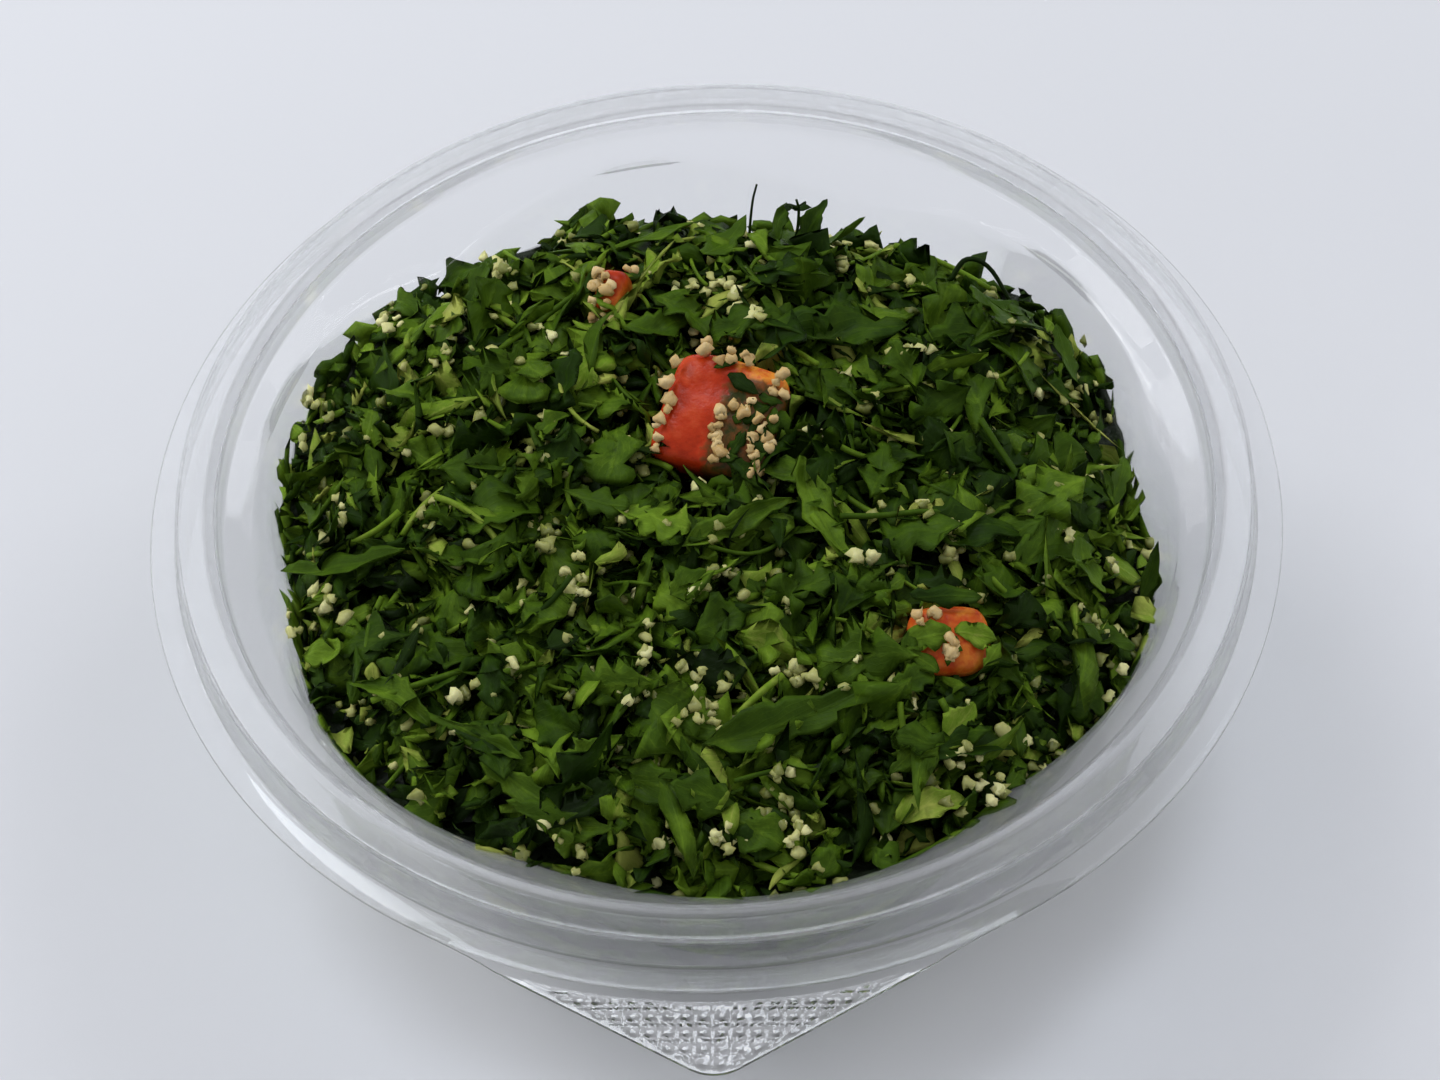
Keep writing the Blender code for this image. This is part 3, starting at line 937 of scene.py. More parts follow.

# the deepest layer gets near-black tones: painted shade deep in the heap
scatter("parsley_under", PIECE, count=700, seed=10, grid=(5, 4), length=(6, 12),
        width=(0.4, 0.8), layer=(-6.2, -3.6), tilt=0.70, tone=(0.08, 0.10))
scatter("parsley_pieces", PIECE, count=640, seed=11, grid=(7, 4), length=(4, 11),
        width=(0.45, 1.0), layer=(-3.6, 0.8), tilt=0.80, tone=(0.42, 0.23), reach=0.97)
scatter("parsley_cuts", CUT, count=400, seed=15, grid=(5, 5), length=(3.0, 7.5),
        width=(0.5, 1.0), layer=(-2.8, 0.8), tilt=0.80, tone=(0.50, 0.22))
scatter("parsley_lobes", LOBED, count=250, seed=12, grid=(13, 5), length=(8, 16),
        width=(0.5, 0.9), layer=(-1.6, 0.9), tilt=0.60, tone=(0.44, 0.16), reach=0.86)
scatter("parsley_shreds", SHRED, count=1300, seed=13, grid=(5, 3), length=(1.4, 5.5),
        width=(0.3, 1.0), layer=(-3.4, 0.8), tilt=0.85, tone=(0.46, 0.26))
scatter("parsley_blades", BLADE, count=220, seed=14, grid=(8, 3), length=(7, 17),
        width=(0.14, 0.3), layer=(-1.4, 0.9), tilt=0.50, tone=(0.50, 0.2), reach=0.92)

# %% [markdown]
# ## The leaves that stand out
# Chance alone would spread all the leaves evenly, which a real heap never is.
# A few dozen larger leaves give it its face, so they are placed one by one:
# broad ones that lie open, long ones that curl, and a few at the back and the
# right that stand up from the heap.

# %% Broad leaves
# x, y, lift, length, width, azimuth, pitch, tone; in millimetres and degrees
BROAD_LEAVES = [
    (10, -38, 1.6, 23, 7.5, 22, 0, 0.46), (16, 25, 1.4, 20, 8.0, 9, 0, 0.36),
    (-6, -46, 1.4, 17, 7.0, -20, 0, 0.46), (34, -7, 1.3, 16, 7.5, 12, 0, 0.26),
    (45, -6, 1.4, 14, 9.0, 40, 0, 0.50), (49, -11, 1.6, 9, 5.0, -60, 0, 0.58),
    (-28, -5, 1.3, 12, 9.5, 8, 0, 0.42), (-18, -51, 1.2, 13, 6.0, -12, 0, 0.52),
    (-20, -37, 1.0, 8, 8.0, -21, 8, 0.34), (2, -23, 1.4, 9, 7.0, 29, 0, 0.42),
    (20, -18, 1.0, 8, 6.0, -26, 0, 0.46), (33, -40, 1.2, 14, 5.5, 16, 0, 0.24),
    (29, -48, 1.4, 10, 5.5, 25, 0, 0.78), (32, -37, 1.6, 7, 5.0, 53, 10, 0.76),
    (6, -52, 1.2, 9, 6.5, -31, 0, 0.54), (51, -20, 1.2, 9, 5.5, 3, 0, 0.44),
    (-41, 18, 1.2, 9, 6.0, -39, 0, 0.56), (-44, 38, 1.4, 10, 5.5, -39, 14, 0.44),
    (-37, 44, 1.2, 8, 6.0, 21, 12, 0.40), (33, 16, 1.2, 11, 5.5, 43, 0, 0.48),
    (19, 19, 1.2, 7, 4.5, -24, 0, 0.62), (11, 36, 1.3, 9, 5.5, 39, 0, 0.44),
    (1, 45, 1.4, 11, 5.0, 58, 14, 0.46), (-8, 26, 1.2, 10, 6.0, 24, 0, 0.48),
    (-34, -25, 1.2, 9, 5.5, -20, 0, 0.44), (-15, -42, 1.4, 5.5, 5.5, 40, 0, 0.52),
    (-2, -18, 1.2, 8, 6.0, 37, 0, 0.52), (26, -32, 1.2, 7, 4.5, 27, 0, 0.42),
    (-49, 10, 1.2, 8, 5.5, 10, 0, 0.48), (-51, -21, 1.2, 7, 5.0, -5, 0, 0.62),
    (38, 34, 1.2, 9, 6.0, -50, 10, 0.42), (27, 43, 1.4, 9, 5.5, 120, 16, 0.44)]

# %% Long and lobed leaves
# the same columns, for leaves that are long for their width
LONG_LEAVES = [
    (14, -7, 1.8, 17, 5.0, -67, 0, 0.60), (3, -8, 1.6, 17, 4.5, 30, 0, 0.58),
    (-49, -10, 1.2, 20, 4.0, -12, 0, 0.46), (-41, -31, 1.4, 15, 4.5, -38, 0, 0.52),
    (-29, -39, 1.4, 14, 4.0, -31, 0, 0.50), (-23, -46, 1.4, 12, 4.5, -39, 0, 0.54),
    (-10, 45.5, 2.4, 14, 3.4, 8, 8, 0.56), (38, -27, 1.2, 9, 3.8, -66, 0, 0.40),
    (-22, 9, 1.4, 8, 3.2, 53, 0, 0.60), (12.6, 47, 4.5, 9, 3.8, 62, 58, 0.36),
    (16.5, 46.5, 3.2, 9, 4.2, 20, 40, 0.50), (8, 46.5, 3.4, 8, 3.4, 70, 50, 0.40),
    (57.5, -8, 3.0, 9, 3.0, 90, 70, 0.30), (54, 8, 1.4, 10, 3.6, 75, 20, 0.44),
    (47, 28, 1.6, 9, 4.0, 110, 20, 0.42), (-33, 41, 1.4, 8, 4.0, 60, 30, 0.40)]
# and for leaves cut into pointed lobes
LOBED_LEAVES = [(-8, -8, 1.9, 12, 9.0, -26, 0, 0.68), (-25, -20, 1.2, 6, 5.0, -14, 0, 0.60),
                (10.6, 47.8, 8.0, 4.2, 3.2, -30, 10, 0.02), (47, -29, 1.2, 9, 6.0, 4, 0, 0.42)]

# %% Place the larger leaves
OPEN = {**PIECE, "widest": (0.3, 0.6), "blunt": (0.3, 0.6), "point": (0.45, 0.9),
        "stub": (0.0, 0.7), "snip": (-0.8, 0.3), "lobes": (3.0, 9.0), "teeth": 0.16,
        "slant": (-0.4, 0.4), "bend": (0.4, 1.5), "fold": (0.05, 0.55),
        "wave": (0.05, 0.4), "twist": (0.0, 0.8)}
CURLED = {**OPEN, "blunt": (0.5, 0.9), "sweep": (-0.35, 0.35), "bend": (0.3, 1.3),
          "fold": (0.1, 0.7), "twist": (0.1, 0.9)}
PLACED_GRID = (15, 9)
PLACED_ROLL = 0.22


def placed(name, table, seed, style):
    """Leaves from a table, each lifted, pitched and rolled from the heap's surface.

    The pitch raises a leaf's far end, and the roll is random."""
    rng = np.random.default_rng(seed)
    x, y, lift, length, width, azimuth, pitch, tone = np.array(table, dtype=float).T
    x, y, lift, length, width = (v * MM for v in (x, y, lift, length, width))
    azimuth = np.radians(azimuth)
    normals = heap_normal(x, y)
    ahead = in_plane(heading(azimuth), normals)
    side = np.cross(normals, ahead)
    pitch = np.radians(pitch)[:, None]
    normals = normals * np.cos(pitch) - ahead * np.sin(pitch)
    roll = rng.normal(0.0, PLACED_ROLL, len(x))[:, None]
    normals = normals * np.cos(roll) + side * np.sin(roll)
    centres = np.stack([x, y, heap_height(x, y) + 0.6 * clumps(x, y) + lift], axis=1)
    points, place = leaf_points(rng, centres, normals, azimuth, length, width,
                                PLACED_GRID, style)
    return leaves_piece(name, hold_in(points), place, PLACED_GRID, tone)


placed("broad_leaves", BROAD_LEAVES, 41, OPEN)
placed("long_leaves", LONG_LEAVES, 42, CURLED)
placed("lobed_leaves", LOBED_LEAVES, 43, {**LOBED, "bend": (0.1, 0.5)})

# %% [markdown]
# ## Stems
# Parsley stems are cut with the leaves: pale green sticks of up to a
# millimetre. Two thin dark ones stand up at the back, and a thicker one bends
# over to the right of them. One thick pale stem shows at the front. A curve
# with a bevel would do for a single stem. For a hundred it is simpler to carry
# a ring along each path and to keep them all in one mesh.

# %% Stems
STEM_SIDES = 7
STEM_RINGS = 9
ASKEW = np.array([0.13, 0.21, 0.97])
OFF_RIB = 0.25


def stem_points(paths, radii):
    """Round tubes along paths (stem, ring, 3), each with a point at either end."""
    n = len(paths)
    ahead = unit(np.gradient(paths, axis=1))
    side = unit(np.cross(ahead, ASKEW))
    over = np.cross(ahead, side)
    around = np.linspace(0.0, 2 * math.pi, STEM_SIDES, endpoint=False)[None, None, :, None]
    ring = side[:, :, None] * np.cos(around) + over[:, :, None] * np.sin(around)
    body = paths[:, :, None] + ring * radii[:, :, None, None]
    return np.concatenate([body.reshape(n, -1, 3), paths[:, [0, -1]]], axis=1)


def stems_piece(name, paths, radii, tones):
    """All the stems of one kind as one mesh, in the leaves' finish beside its ribs."""
    points = stem_points(paths, radii)
    n, stride = points.shape[:2]
    faces = [repeat_faces(group, n, stride) for group in ball_faces(paths.shape[1], STEM_SIDES)]
    uv = np.full((n * stride, 2), OFF_RIB)
    values = {"tone": np.repeat(tones, stride)}
    return new_piece(name, points, faces, HERBS, values, uv)


def scattered_stems(count, seed):
    """Short curved stems over the heap."""
    rng = np.random.default_rng(seed)
    x, y = spread(rng, count, seed, reach=0.93)
    azimuth = rng.uniform(0, 6.3, count)
    length = rng.uniform(5, 15, count) * MM
    t = np.linspace(-0.5, 0.5, STEM_RINGS)[None, :]
    bow = (rng.uniform(-0.3, 0.3, count) * length)[:, None] * (t * t - 0.1) * 2
    along = length[:, None] * t
    px = x[:, None] + along * np.cos(azimuth)[:, None] - bow * np.sin(azimuth)[:, None]
    py = y[:, None] + along * np.sin(azimuth)[:, None] + bow * np.cos(azimuth)[:, None]
    tip = rng.normal(0, 0.18, count)[:, None] * along
    lift = rng.uniform(-1.0, 1.0, count)[:, None] * MM
    pz = heap_height(px, py) + clumps(x, y)[:, None] * 0.8 + lift + tip
    radii = rng.uniform(0.25, 0.5, count)[:, None] * MM * np.ones((1, STEM_RINGS))
    tones = random_tones(rng, 0.62, 0.12, count)
    paths = hold_in(np.stack([px, py, pz], axis=-1))
    return stems_piece("parsley_stems", paths, radii, tones)


scattered_stems(90, 51)

# %% Stems placed one by one
def curve_through(corners, count):
    """A smooth path through points in millimetres, by a cubic through each pair."""
    corners = np.array(corners, dtype=float) * MM
    at = np.linspace(0, len(corners) - 1, count)
    padded = np.concatenate([2 * corners[:1] - corners[1:2], corners,
                             2 * corners[-1:] - corners[-2:-1]])
    i = np.minimum(at.astype(int), len(corners) - 2)
    f = (at - i)[:, None]
    a, b, c, d = (padded[i + k] for k in range(4))
    return b + 0.5 * f * (c - a + f * (2 * a - 5 * b + 4 * c - d + f * (3 * (b - c) + d - a)))


# radius at the foot, tone, and corners of each standing stem; in millimetres
STANDING_RINGS = 15
STANDING = [
    (0.22, 0.04, [(4.0, 46.5, 35.5), (4.2, 47.5, 38.0), (4.6, 48.6, 41.0), (5.2, 49.4, 43.4)]),
    (0.42, 0.02, [(31.5, 40.0, 33.5), (33.8, 42.2, 35.6), (37.0, 42.0, 34.0),
                  (40.0, 38.5, 30.5)]),
    (0.25, 0.10, [(10.4, 45.6, 36.0), (10.8, 46.6, 38.5), (10.9, 47.4, 40.5),
                  (10.6, 48.0, 41.8)])]
PALE_RADIUS = 0.5 * MM
PALE_STEM = [(4.0, -37.0, 40.2), (6.8, -34.4, 41.2), (9.5, -31.6, 41.0)]

feet, tones, corners = zip(*STANDING)
paths = np.stack([curve_through(row, STANDING_RINGS) for row in corners])
taper = np.linspace(1.0, 0.7, STANDING_RINGS)[None, :]
stems_piece("standing_stems", paths, taper * np.array(feet)[:, None] * MM, np.array(tones))
stems_piece("pale_stem", curve_through(PALE_STEM, STEM_RINGS)[None],
            np.full((1, STEM_RINGS), PALE_RADIUS), np.array([0.78]))

# %% [markdown]
# ## Core
# Filling the bowl with leaves all the way down would take a million faces
# that nobody sees. Instead one nearly black solid lies under the leaves, closes
# the gaps between them and fills the bowl down to its base. Its dark colour is
# painted shade, the shade deep inside the heap. Its sides reach a little way
# into the clear sheet, so no air shows between them.

# %% Core of the heap
def core_shade_finish():
    """Nearly black green as painted shade deep between the leaves, with flecks of leaf."""
    finish = Finish("core")
    flecks = finish.noise(500.0, 4.0)
    # the near-black stops are painted shade inside the heap; the palest stop is flecks of leaf
    colour = finish.ramp(flecks, [(0.3, (0.003, 0.007, 0.0015)), (0.6, (0.010, 0.02, 0.004)),
                                  (0.8, (0.04, 0.055, 0.012))])
    finish.surface(Base_Color=colour, Roughness=0.6)
    finish.bumps(flecks, 0.8 * MM)
    return finish.material


# %% Build the core
CORE_UNDER = 6.4 * MM
CORE_ROUGH = 0.9 * MM
CORE_BRIM = 5.2 * MM
CORE_BASE = 0.42 * MM
CORE_INTO = 0.1 * MM
CORE_SINK = 0.08 * MM
TOP_RINGS, WALL_RINGS, BASE_RINGS = 42, 26, 60


def make_core(finish):
    """A closed surface: the top from the middle outwards, the wall, and the base."""
    azimuths = np.arange(0, 360, 2.0)
    angle = np.radians(azimuths)
    share = np.sqrt(np.linspace(0.0, 1.0, TOP_RINGS))[1:, None]
    radius = edge_radius(azimuths) * share
    x, y = radius * np.cos(angle), radius * np.sin(angle)
    noise = smooth_noise(np.stack([x, y, x * 0], axis=-1), 3.5 * MM, 5)
    height = heap_height(x, y) - CORE_UNDER + CORE_ROUGH * noise + CORE_BRIM * share**16
    down = np.linspace(0.0, 1.0, WALL_RINGS)[1:, None]
    wall_height = height[-1] + (CORE_BASE - height[-1]) * down
    wall = inner_radius(azimuths[None, :], LEDGE_FOOT - wall_height) + CORE_INTO
    floor = wall[-1] * np.linspace(1.0, 0.0, BASE_RINGS)[1:-1, None]
    radius = np.concatenate([radius, wall, floor])
    height = np.concatenate([height, wall_height, floor_height(floor) - CORE_SINK])
    points = polar(radius, angle, height).reshape(-1, 3)
    points = np.concatenate([points, [[0, 0, height[0].mean()], [0, 0, CORE_BASE]]])
    faces = ball_faces(*radius.shape, inward=True)
    piece = new_piece("salad_core", points, faces, finish)
    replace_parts(piece, "salad")


make_core(core_shade_finish())

# %% [markdown]
# ## Against the wall
# From the side the salad is seen through the clear wall, where the dressing
# presses the leaves flat against it. A Shrinkwrap modifier could do that, but
# every leaf should lie at its own small depth, so the leaves start flat and
# each of their points moves to the nearest place on the wall's inner face.

# %% Places on the wall
WALL_SHARE = 0.66
WALL_GRID = (5, 4)


def inner_places(rng, count):
    """Places on the inner face: two in three on the wall, the rest on the base."""
    azimuth = rng.uniform(0, 360, count)
    angle = np.radians(azimuth)
    on_wall = rng.random(count) < WALL_SHARE
    edge = edge_radius(azimuth)
    brim = heap_height(edge * np.cos(angle), edge * np.sin(angle)) - 0.5 * MM
    base = inner_radius(azimuth, CAVITY_DEPTH) * np.sqrt(rng.random(count))
    height = np.where(on_wall, SHEET + (brim - SHEET) * rng.random(count), floor_height(base))
    radius = np.where(on_wall, inner_radius(azimuth, LEDGE_FOOT - height), base)
    return polar(radius, angle, height)


def nearest(points):
    """The nearest place on the inner face to each point, and the normal there."""
    return [inner_face.find_nearest(point)[:2] for point in points.tolist()]


def press(points, into):
    """Move each point to the nearest place on the inner face, and a little into it."""
    depth = np.broadcast_to(into, points.shape[:-1]).ravel().tolist()
    found = nearest(points.reshape(-1, 3))
    moved = [spot - normal * deep for (spot, normal), deep in zip(found, depth)]
    return np.array(moved).reshape(points.shape)


# %% Leaves pressed on the wall
def wall_leaves(count, seed):
    """Leaves pressed on the inner face, and up to 0.3 mm into it."""
    rng = np.random.default_rng(seed)
    centres, normals = (np.array(column) for column in zip(*nearest(inner_places(rng, count))))
    lengths = rng.uniform(3 * MM, 10 * MM, count)
    azimuths = rng.uniform(0, 6.3, count)
    widths = lengths * rng.uniform(0.35, 0.8, count)
    style = {**PIECE, "bend": (0.0, 0.1), "fold": (0, 0), "wave": (0, 0), "twist": (0, 0)}
    points, place = leaf_points(rng, centres, -normals, azimuths, lengths, widths,
                                WALL_GRID, style)
    facing = WALL_GRID[0] * WALL_GRID[1]
    top = press(points[:, :facing], rng.uniform(0.05 * MM, 0.3 * MM, count)[:, None])
    under = press(points[:, facing:], -0.25 * MM)
    points = np.concatenate([top, under], axis=1)
    tones = random_tones(rng, 0.52, 0.17, count)
    return leaves_piece("wall_leaves", points, place, WALL_GRID, tones)


wall_leaves(2200, 21)

# %% [markdown]
# ## Grains
# Bulgur is cracked wheat: pale, blunt, a couple of millimetres long, and no
# two alike. Copies of one ball would look like beads, so the few points of
# each grain are shaken on their own. The grains lie singly and in small
# groups between the leaves.

# %% Shape of a grain
GRAIN_RINGS = 4
GRAIN_SIDES = 7


def grain_points(rng, centres, normals, sizes):
    """Blunt uneven grains: rings along an axis, each ring shaken in radius.

    The ring at the angle a has the radius w sin(a)^0.7 (1 + l cos(a))."""
    n = len(centres)
    turn = np.linspace(0.0, math.pi, GRAIN_RINGS + 2)[None, 1:-1, None]
    around = np.linspace(0.0, 2 * math.pi, GRAIN_SIDES, endpoint=False)[None, None, :]
    rough = 1.0 + rng.uniform(-0.5, 0.5, (n, GRAIN_RINGS, GRAIN_SIDES))
    rough = rough * (1.0 + 0.3 * np.cos(2 * around + rng.uniform(0, 6.3, (n, GRAIN_RINGS, 1))))
    wide = sizes[:, None, None] * rng.uniform(0.28, 0.46, (n, 1, 1))
    lean = rng.uniform(-0.35, 0.35, (n, 1, 1))
    ring = np.sin(turn)**0.7 * wide * rough * (1.0 + lean * np.cos(turn))
    axis = -np.cos(turn) * sizes[:, None, None] / 2 * rng.uniform(0.85, 1.1, (n, 1, 1))
    axis = axis + 0 * around
    squeeze = rng.uniform(0.6, 0.95, (n, 1, 1))
    local = np.stack([axis, ring * np.cos(around), ring * np.sin(around) * squeeze], axis=-1)
    ends = np.zeros((n, 2, 3))
    ends[:, 0, 0] = axis[:, 0, 0] - sizes * 0.08
    ends[:, 1, 0] = axis[:, -1, 0] + sizes * 0.08
    local = np.concatenate([local.reshape(n, -1, 3), ends], axis=1)
    third = unit(normals)
    first = unit(np.cross(third, unit(rng.normal(size=(n, 3)))))
    basis = np.stack([first, np.cross(third, first), third], axis=1)
    return np.einsum("npk,nkj->npj", local, basis) + centres[:, None, :]


# %% Grain finish
def grain_finish():
    """Cream to straw colour, matt, and pinkish where tomato has stained it."""
    finish = Finish("grains")
    mottle = finish.noise(900.0, 3.0)
    shade = finish.attribute("tone") + (mottle - 0.5) * 0.35
    clean = finish.ramp(shade, [
        (0.0, (0.10, 0.12, 0.02)), (0.35, (0.23, 0.25, 0.06)),
        (0.7, (0.46, 0.46, 0.16)), (1.0, (0.74, 0.72, 0.35))])
    stained = finish.ramp(shade, [
        (0.0, (0.30, 0.06, 0.01)), (0.5, (0.58, 0.27, 0.10)), (1.0, (0.82, 0.52, 0.27))])
    colour = finish.blend(finish.attribute("stain"), clean, stained)
    finish.surface(Base_Color=colour, Roughness=0.42, Subsurface_Weight=0.12,
                   Subsurface_Scale=0.6 * MM, Subsurface_Radius=(1.0, 0.7, 0.35))
    finish.bumps(mottle, 0.15 * MM, 0.6)
    return finish.material


GRAINS = grain_finish()

# %% Grains over the whole heap
def grains_piece(name, rng, centres, normals, sizes, tones, stain=0.0):
    """Grains as one mesh, with a tone for each, stained by tomato or not."""
    points = hold_in(grain_points(rng, centres, normals, sizes))
    n, stride = points.shape[:2]
    faces = [repeat_faces(group, n, stride) for group in ball_faces(GRAIN_RINGS, GRAIN_SIDES)]
    values = {"tone": np.repeat(tones, stride), "stain": np.full(n * stride, stain)}
    return new_piece(name, points, faces, GRAINS, values)


def scatter_grains(name, groups, seed, per_group, gap, layer):
    """Groups of grains: their centres spread over the heap, the grains near them.

    The gap and the layer over the heap's surface are in millimetres."""
    rng = np.random.default_rng(seed)
    x, y = spread(rng, groups, seed, jitter=3 * MM, reach=0.99)
    share = rng.integers(per_group[0], per_group[1] + 1, groups)
    x = np.repeat(x, share) + rng.normal(0, gap * MM, share.sum())
    y = np.repeat(y, share) + rng.normal(0, gap * MM, share.sum())
    free = in_the_open(x, y)
    x, y, n = x[free], y[free], int(free.sum())
    low, high = (v * MM for v in layer)
    height = heap_height(x, y) + clumps(x, y) + rng.uniform(low, high, n)
    centres = np.stack([x, y, height], axis=1)
    tones = random_tones(rng, 0.5, 0.24, n)
    sizes = (1.0 + 1.5 * rng.beta(2, 2, n)) * MM
    return grains_piece(name, rng, centres, heap_normal(x, y), sizes, tones)


scatter_grains("loose_grains", groups=320, seed=31, per_group=(1, 1), gap=0.5,
               layer=(-1.8, 1.1))
scatter_grains("grain_pairs", groups=120, seed=33, per_group=(2, 3), gap=0.75,
               layer=(-1.0, 1.1))
scatter_grains("grain_groups", groups=26, seed=32, per_group=(4, 7), gap=1.15,
               layer=(-0.6, 1.2))

# %% Groups of grains placed one by one
# x, y, azimuth, length and breadth of the group, and how many grains
GRAIN_GROUPS = [
    (2, 31, -48, 13, 3.5, 16), (-2, 34, 0, 9, 3, 8), (-17.5, -17, -83, 8, 3, 13),
    (-0.5, -35, -70, 11, 3, 13), (-2, -38, 0, 6, 3, 5), (13, -31, -17, 10, 2.2, 11),
    (34, -43, -30, 8, 4, 15), (2, -53, -38, 4, 3, 7), (11, -52, -52, 5, 3, 9),
    (46, -5, -53, 5, 2.5, 6), (-31, 45, -65, 12, 4, 11), (-45, 35, -69, 8, 3, 8),
    (-56, -16, -64, 5, 2, 5), (19, -13, -40, 4, 2, 4), (2, -16, 30, 4, 2, 5),
    (-9, -26, 80, 7, 3, 6), (26, 22, 10, 9, 3, 7), (-34, 22, 0, 9, 4, 6)]


def placed_grains(seed):
    """Grains in stretched groups, on top of the leaves."""
    rng = np.random.default_rng(seed)
    x, y, azimuth, length, breadth, count = np.array(GRAIN_GROUPS, dtype=float).T
    owner = np.repeat(np.arange(len(x)), count.astype(int))
    n = len(owner)
    along = rng.uniform(-0.5, 0.5, n) * length[owner] * MM
    across = rng.uniform(-0.5, 0.5, n) * breadth[owner] * MM
    angle = np.radians(azimuth[owner])
    px = x[owner] * MM + along * np.cos(angle) - across * np.sin(angle)
    py = y[owner] * MM + along * np.sin(angle) + across * np.cos(angle)
    height = heap_height(px, py) + 0.6 * clumps(px, py) + rng.uniform(1.0, 2.3, n) * MM
    centres = np.stack([px, py, height], axis=1)
    tones = random_tones(rng, 0.72, 0.16, n)
    sizes = rng.uniform(1.2, 2.2, n) * MM
    return grains_piece("placed_grains", rng, centres, heap_normal(px, py), sizes, tones)


placed_grains(34)

# %% Grains against the wall
OFF_WALL = np.array([0.992, 0.992, 1.0])
OFF_BASE = np.array([0, 0, 0.2 * MM])


def wall_grains(count, seed):
    """Grains that touch the inner face, half sunk in the salad."""
    rng = np.random.default_rng(seed)
    places = inner_places(rng, count)
    normals = places * np.array([-1.0, -1.0, 0.0])
    tones = random_tones(rng, 0.42, 0.2, count)
    places = places * OFF_WALL + OFF_BASE
    sizes = rng.uniform(1.4, 2.6, count) * MM
    return grains_piece("wall_grains", rng, places, normals, sizes, tones)


wall_grains(420, 35)

# %% [markdown]
# ## Tomatoes
# Three diced chunks of tomato show between the leaves. Each is a rounded box
# with flat wet cut faces, leaning towards the front. A cube with a Bevel
# modifier would get edges that are too even, so the chunk is a
# superellipsoid, dented a little by noise. The large one keeps a
# strip of orange skin at its back edge, and brown juice and scraps of herb
# stick to its right half. The other two are a little paler all over.

# %% Tomato finish
def tomato_finish():
    """Wet red flesh with pulpy patches; peel and dark juice by attributes."""
    finish = Finish("tomato")
    broad = finish.noise(150.0, 3.0)
    fine = finish.noise(800.0, 3.0)
    flesh = finish.ramp(broad * 0.7 + fine * 0.4 - 0.05, [
        (0.25, (0.30, 0.016, 0.003)), (0.5, (0.50, 0.038, 0.007)),
        (0.68, (0.62, 0.080, 0.022)), (0.9, (0.78, 0.28, 0.13))])
    peel = finish.ramp(fine, [(0.35, (0.62, 0.10, 0.012)), (0.6, (0.80, 0.30, 0.03))])
    peeled = (finish.attribute("skin") + broad * 0.5 - 0.25).between(0.3, 0.6)
    dark = finish.ramp(fine, [(0.35, (0.035, 0.040, 0.006)), (0.65, (0.20, 0.06, 0.012))])
    stained = (finish.attribute("juice") + fine * 0.9 - 0.45).between(0.3, 0.6)
    colour = finish.blend(stained, finish.blend(peeled, flesh, peel), dark)
    finish.surface(Base_Color=colour, Roughness=fine * 0.2 + 0.25, Subsurface_Weight=0.12,
                   Subsurface_Scale=1.2 * MM, Subsurface_Radius=(1.0, 0.25, 0.1),
                   Specular_IOR_Level=0.22)
    finish.bumps(broad * 0.4 + fine * 0.6, 0.35 * MM, 0.7)
    return finish.material


TOMATO = tomato_finish()


# %% Chunks
CHUNK_ROWS, CHUNK_COLUMNS = 60, 96


class Chunk:
    """One diced chunk: where it lies, how it is turned, and its own axes."""

    def __init__(self, centre, size, turns, power, narrow=0.85):
        self.centre = np.array(centre) * MM
        self.half = np.array(size) * MM / 2
        self.power = power
        self.narrow = narrow
        rx, ry, rz = (math.radians(turn) for turn in turns)
        turned = Matrix.Rotation(rz, 3, 'Z') @ Matrix.Rotation(ry, 3, 'Y')
        self.frame = np.array(turned @ Matrix.Rotation(rx, 3, 'X'))

    def place(self, own):
        """Points in the chunk's own axes, moved to where it lies."""
        return own @ self.frame.T + self.centre

    def on_top(self, share_x, share_y, lift):
        """Places over its upper face, from shares of its half width and depth."""
        x = np.asarray(share_x) * self.half[0]
        y = np.asarray(share_y) * self.half[1]
        return self.place(np.stack([x, y, self.half[2] + lift + 0 * x], axis=-1))

    def build(self, name, seed, skin=False, juice=False, blush=0.0):
        """A superellipsoid |x|^p + |y|^p + |z|^p = 1, narrower below, a little dented.

        skin gives the back edge peel, juice darkens the right half, and blush is
        an even share of peel for a chunk without them."""
        down = np.linspace(0, math.pi, CHUNK_ROWS + 2)[1:-1, None]
        around = np.linspace(0, 2 * math.pi, CHUNK_COLUMNS, endpoint=False)[None, :]
        aim = np.stack([np.sin(down) * np.cos(around), np.sin(down) * np.sin(around),
                        np.cos(down) + 0 * around], axis=-1)
        aim = np.concatenate([aim.reshape(-1, 3), [[0, 0, 1.0], [0, 0, -1.0]]])
        reach = np.sum(np.abs(aim)**self.power, axis=1)**(-1 / self.power)
        share = aim * reach[:, None]
        taper = self.narrow + (1 - self.narrow) * (share[:, 2:] + 1) / 2
        own = share * self.half * np.concatenate([taper, taper, np.ones_like(taper)], axis=1)
        dents = smooth_noise(own + seed * MM, 5 * MM, seed) * 0.35
        dents = dents + smooth_noise(own, 1.8 * MM, seed + 1) * 0.16
        own = own + aim * dents[:, None] * MM
        back = np.clip((share[:, 1] - 0.45) / 0.4, 0, 1) * np.clip(share[:, 2] + 0.2, 0, 1)
        right = np.clip((share[:, 0] + 0.25) / 0.5, 0, 1)
        values = {"skin": back * right if skin else back * 0 + blush,
                  "juice": right * np.clip(1 - back, 0, 1) * 1.1 if juice else right * 0}
        faces = ball_faces(CHUNK_ROWS, CHUNK_COLUMNS, inward=True)
        return new_piece(name, self.place(own), faces, TOMATO, values)


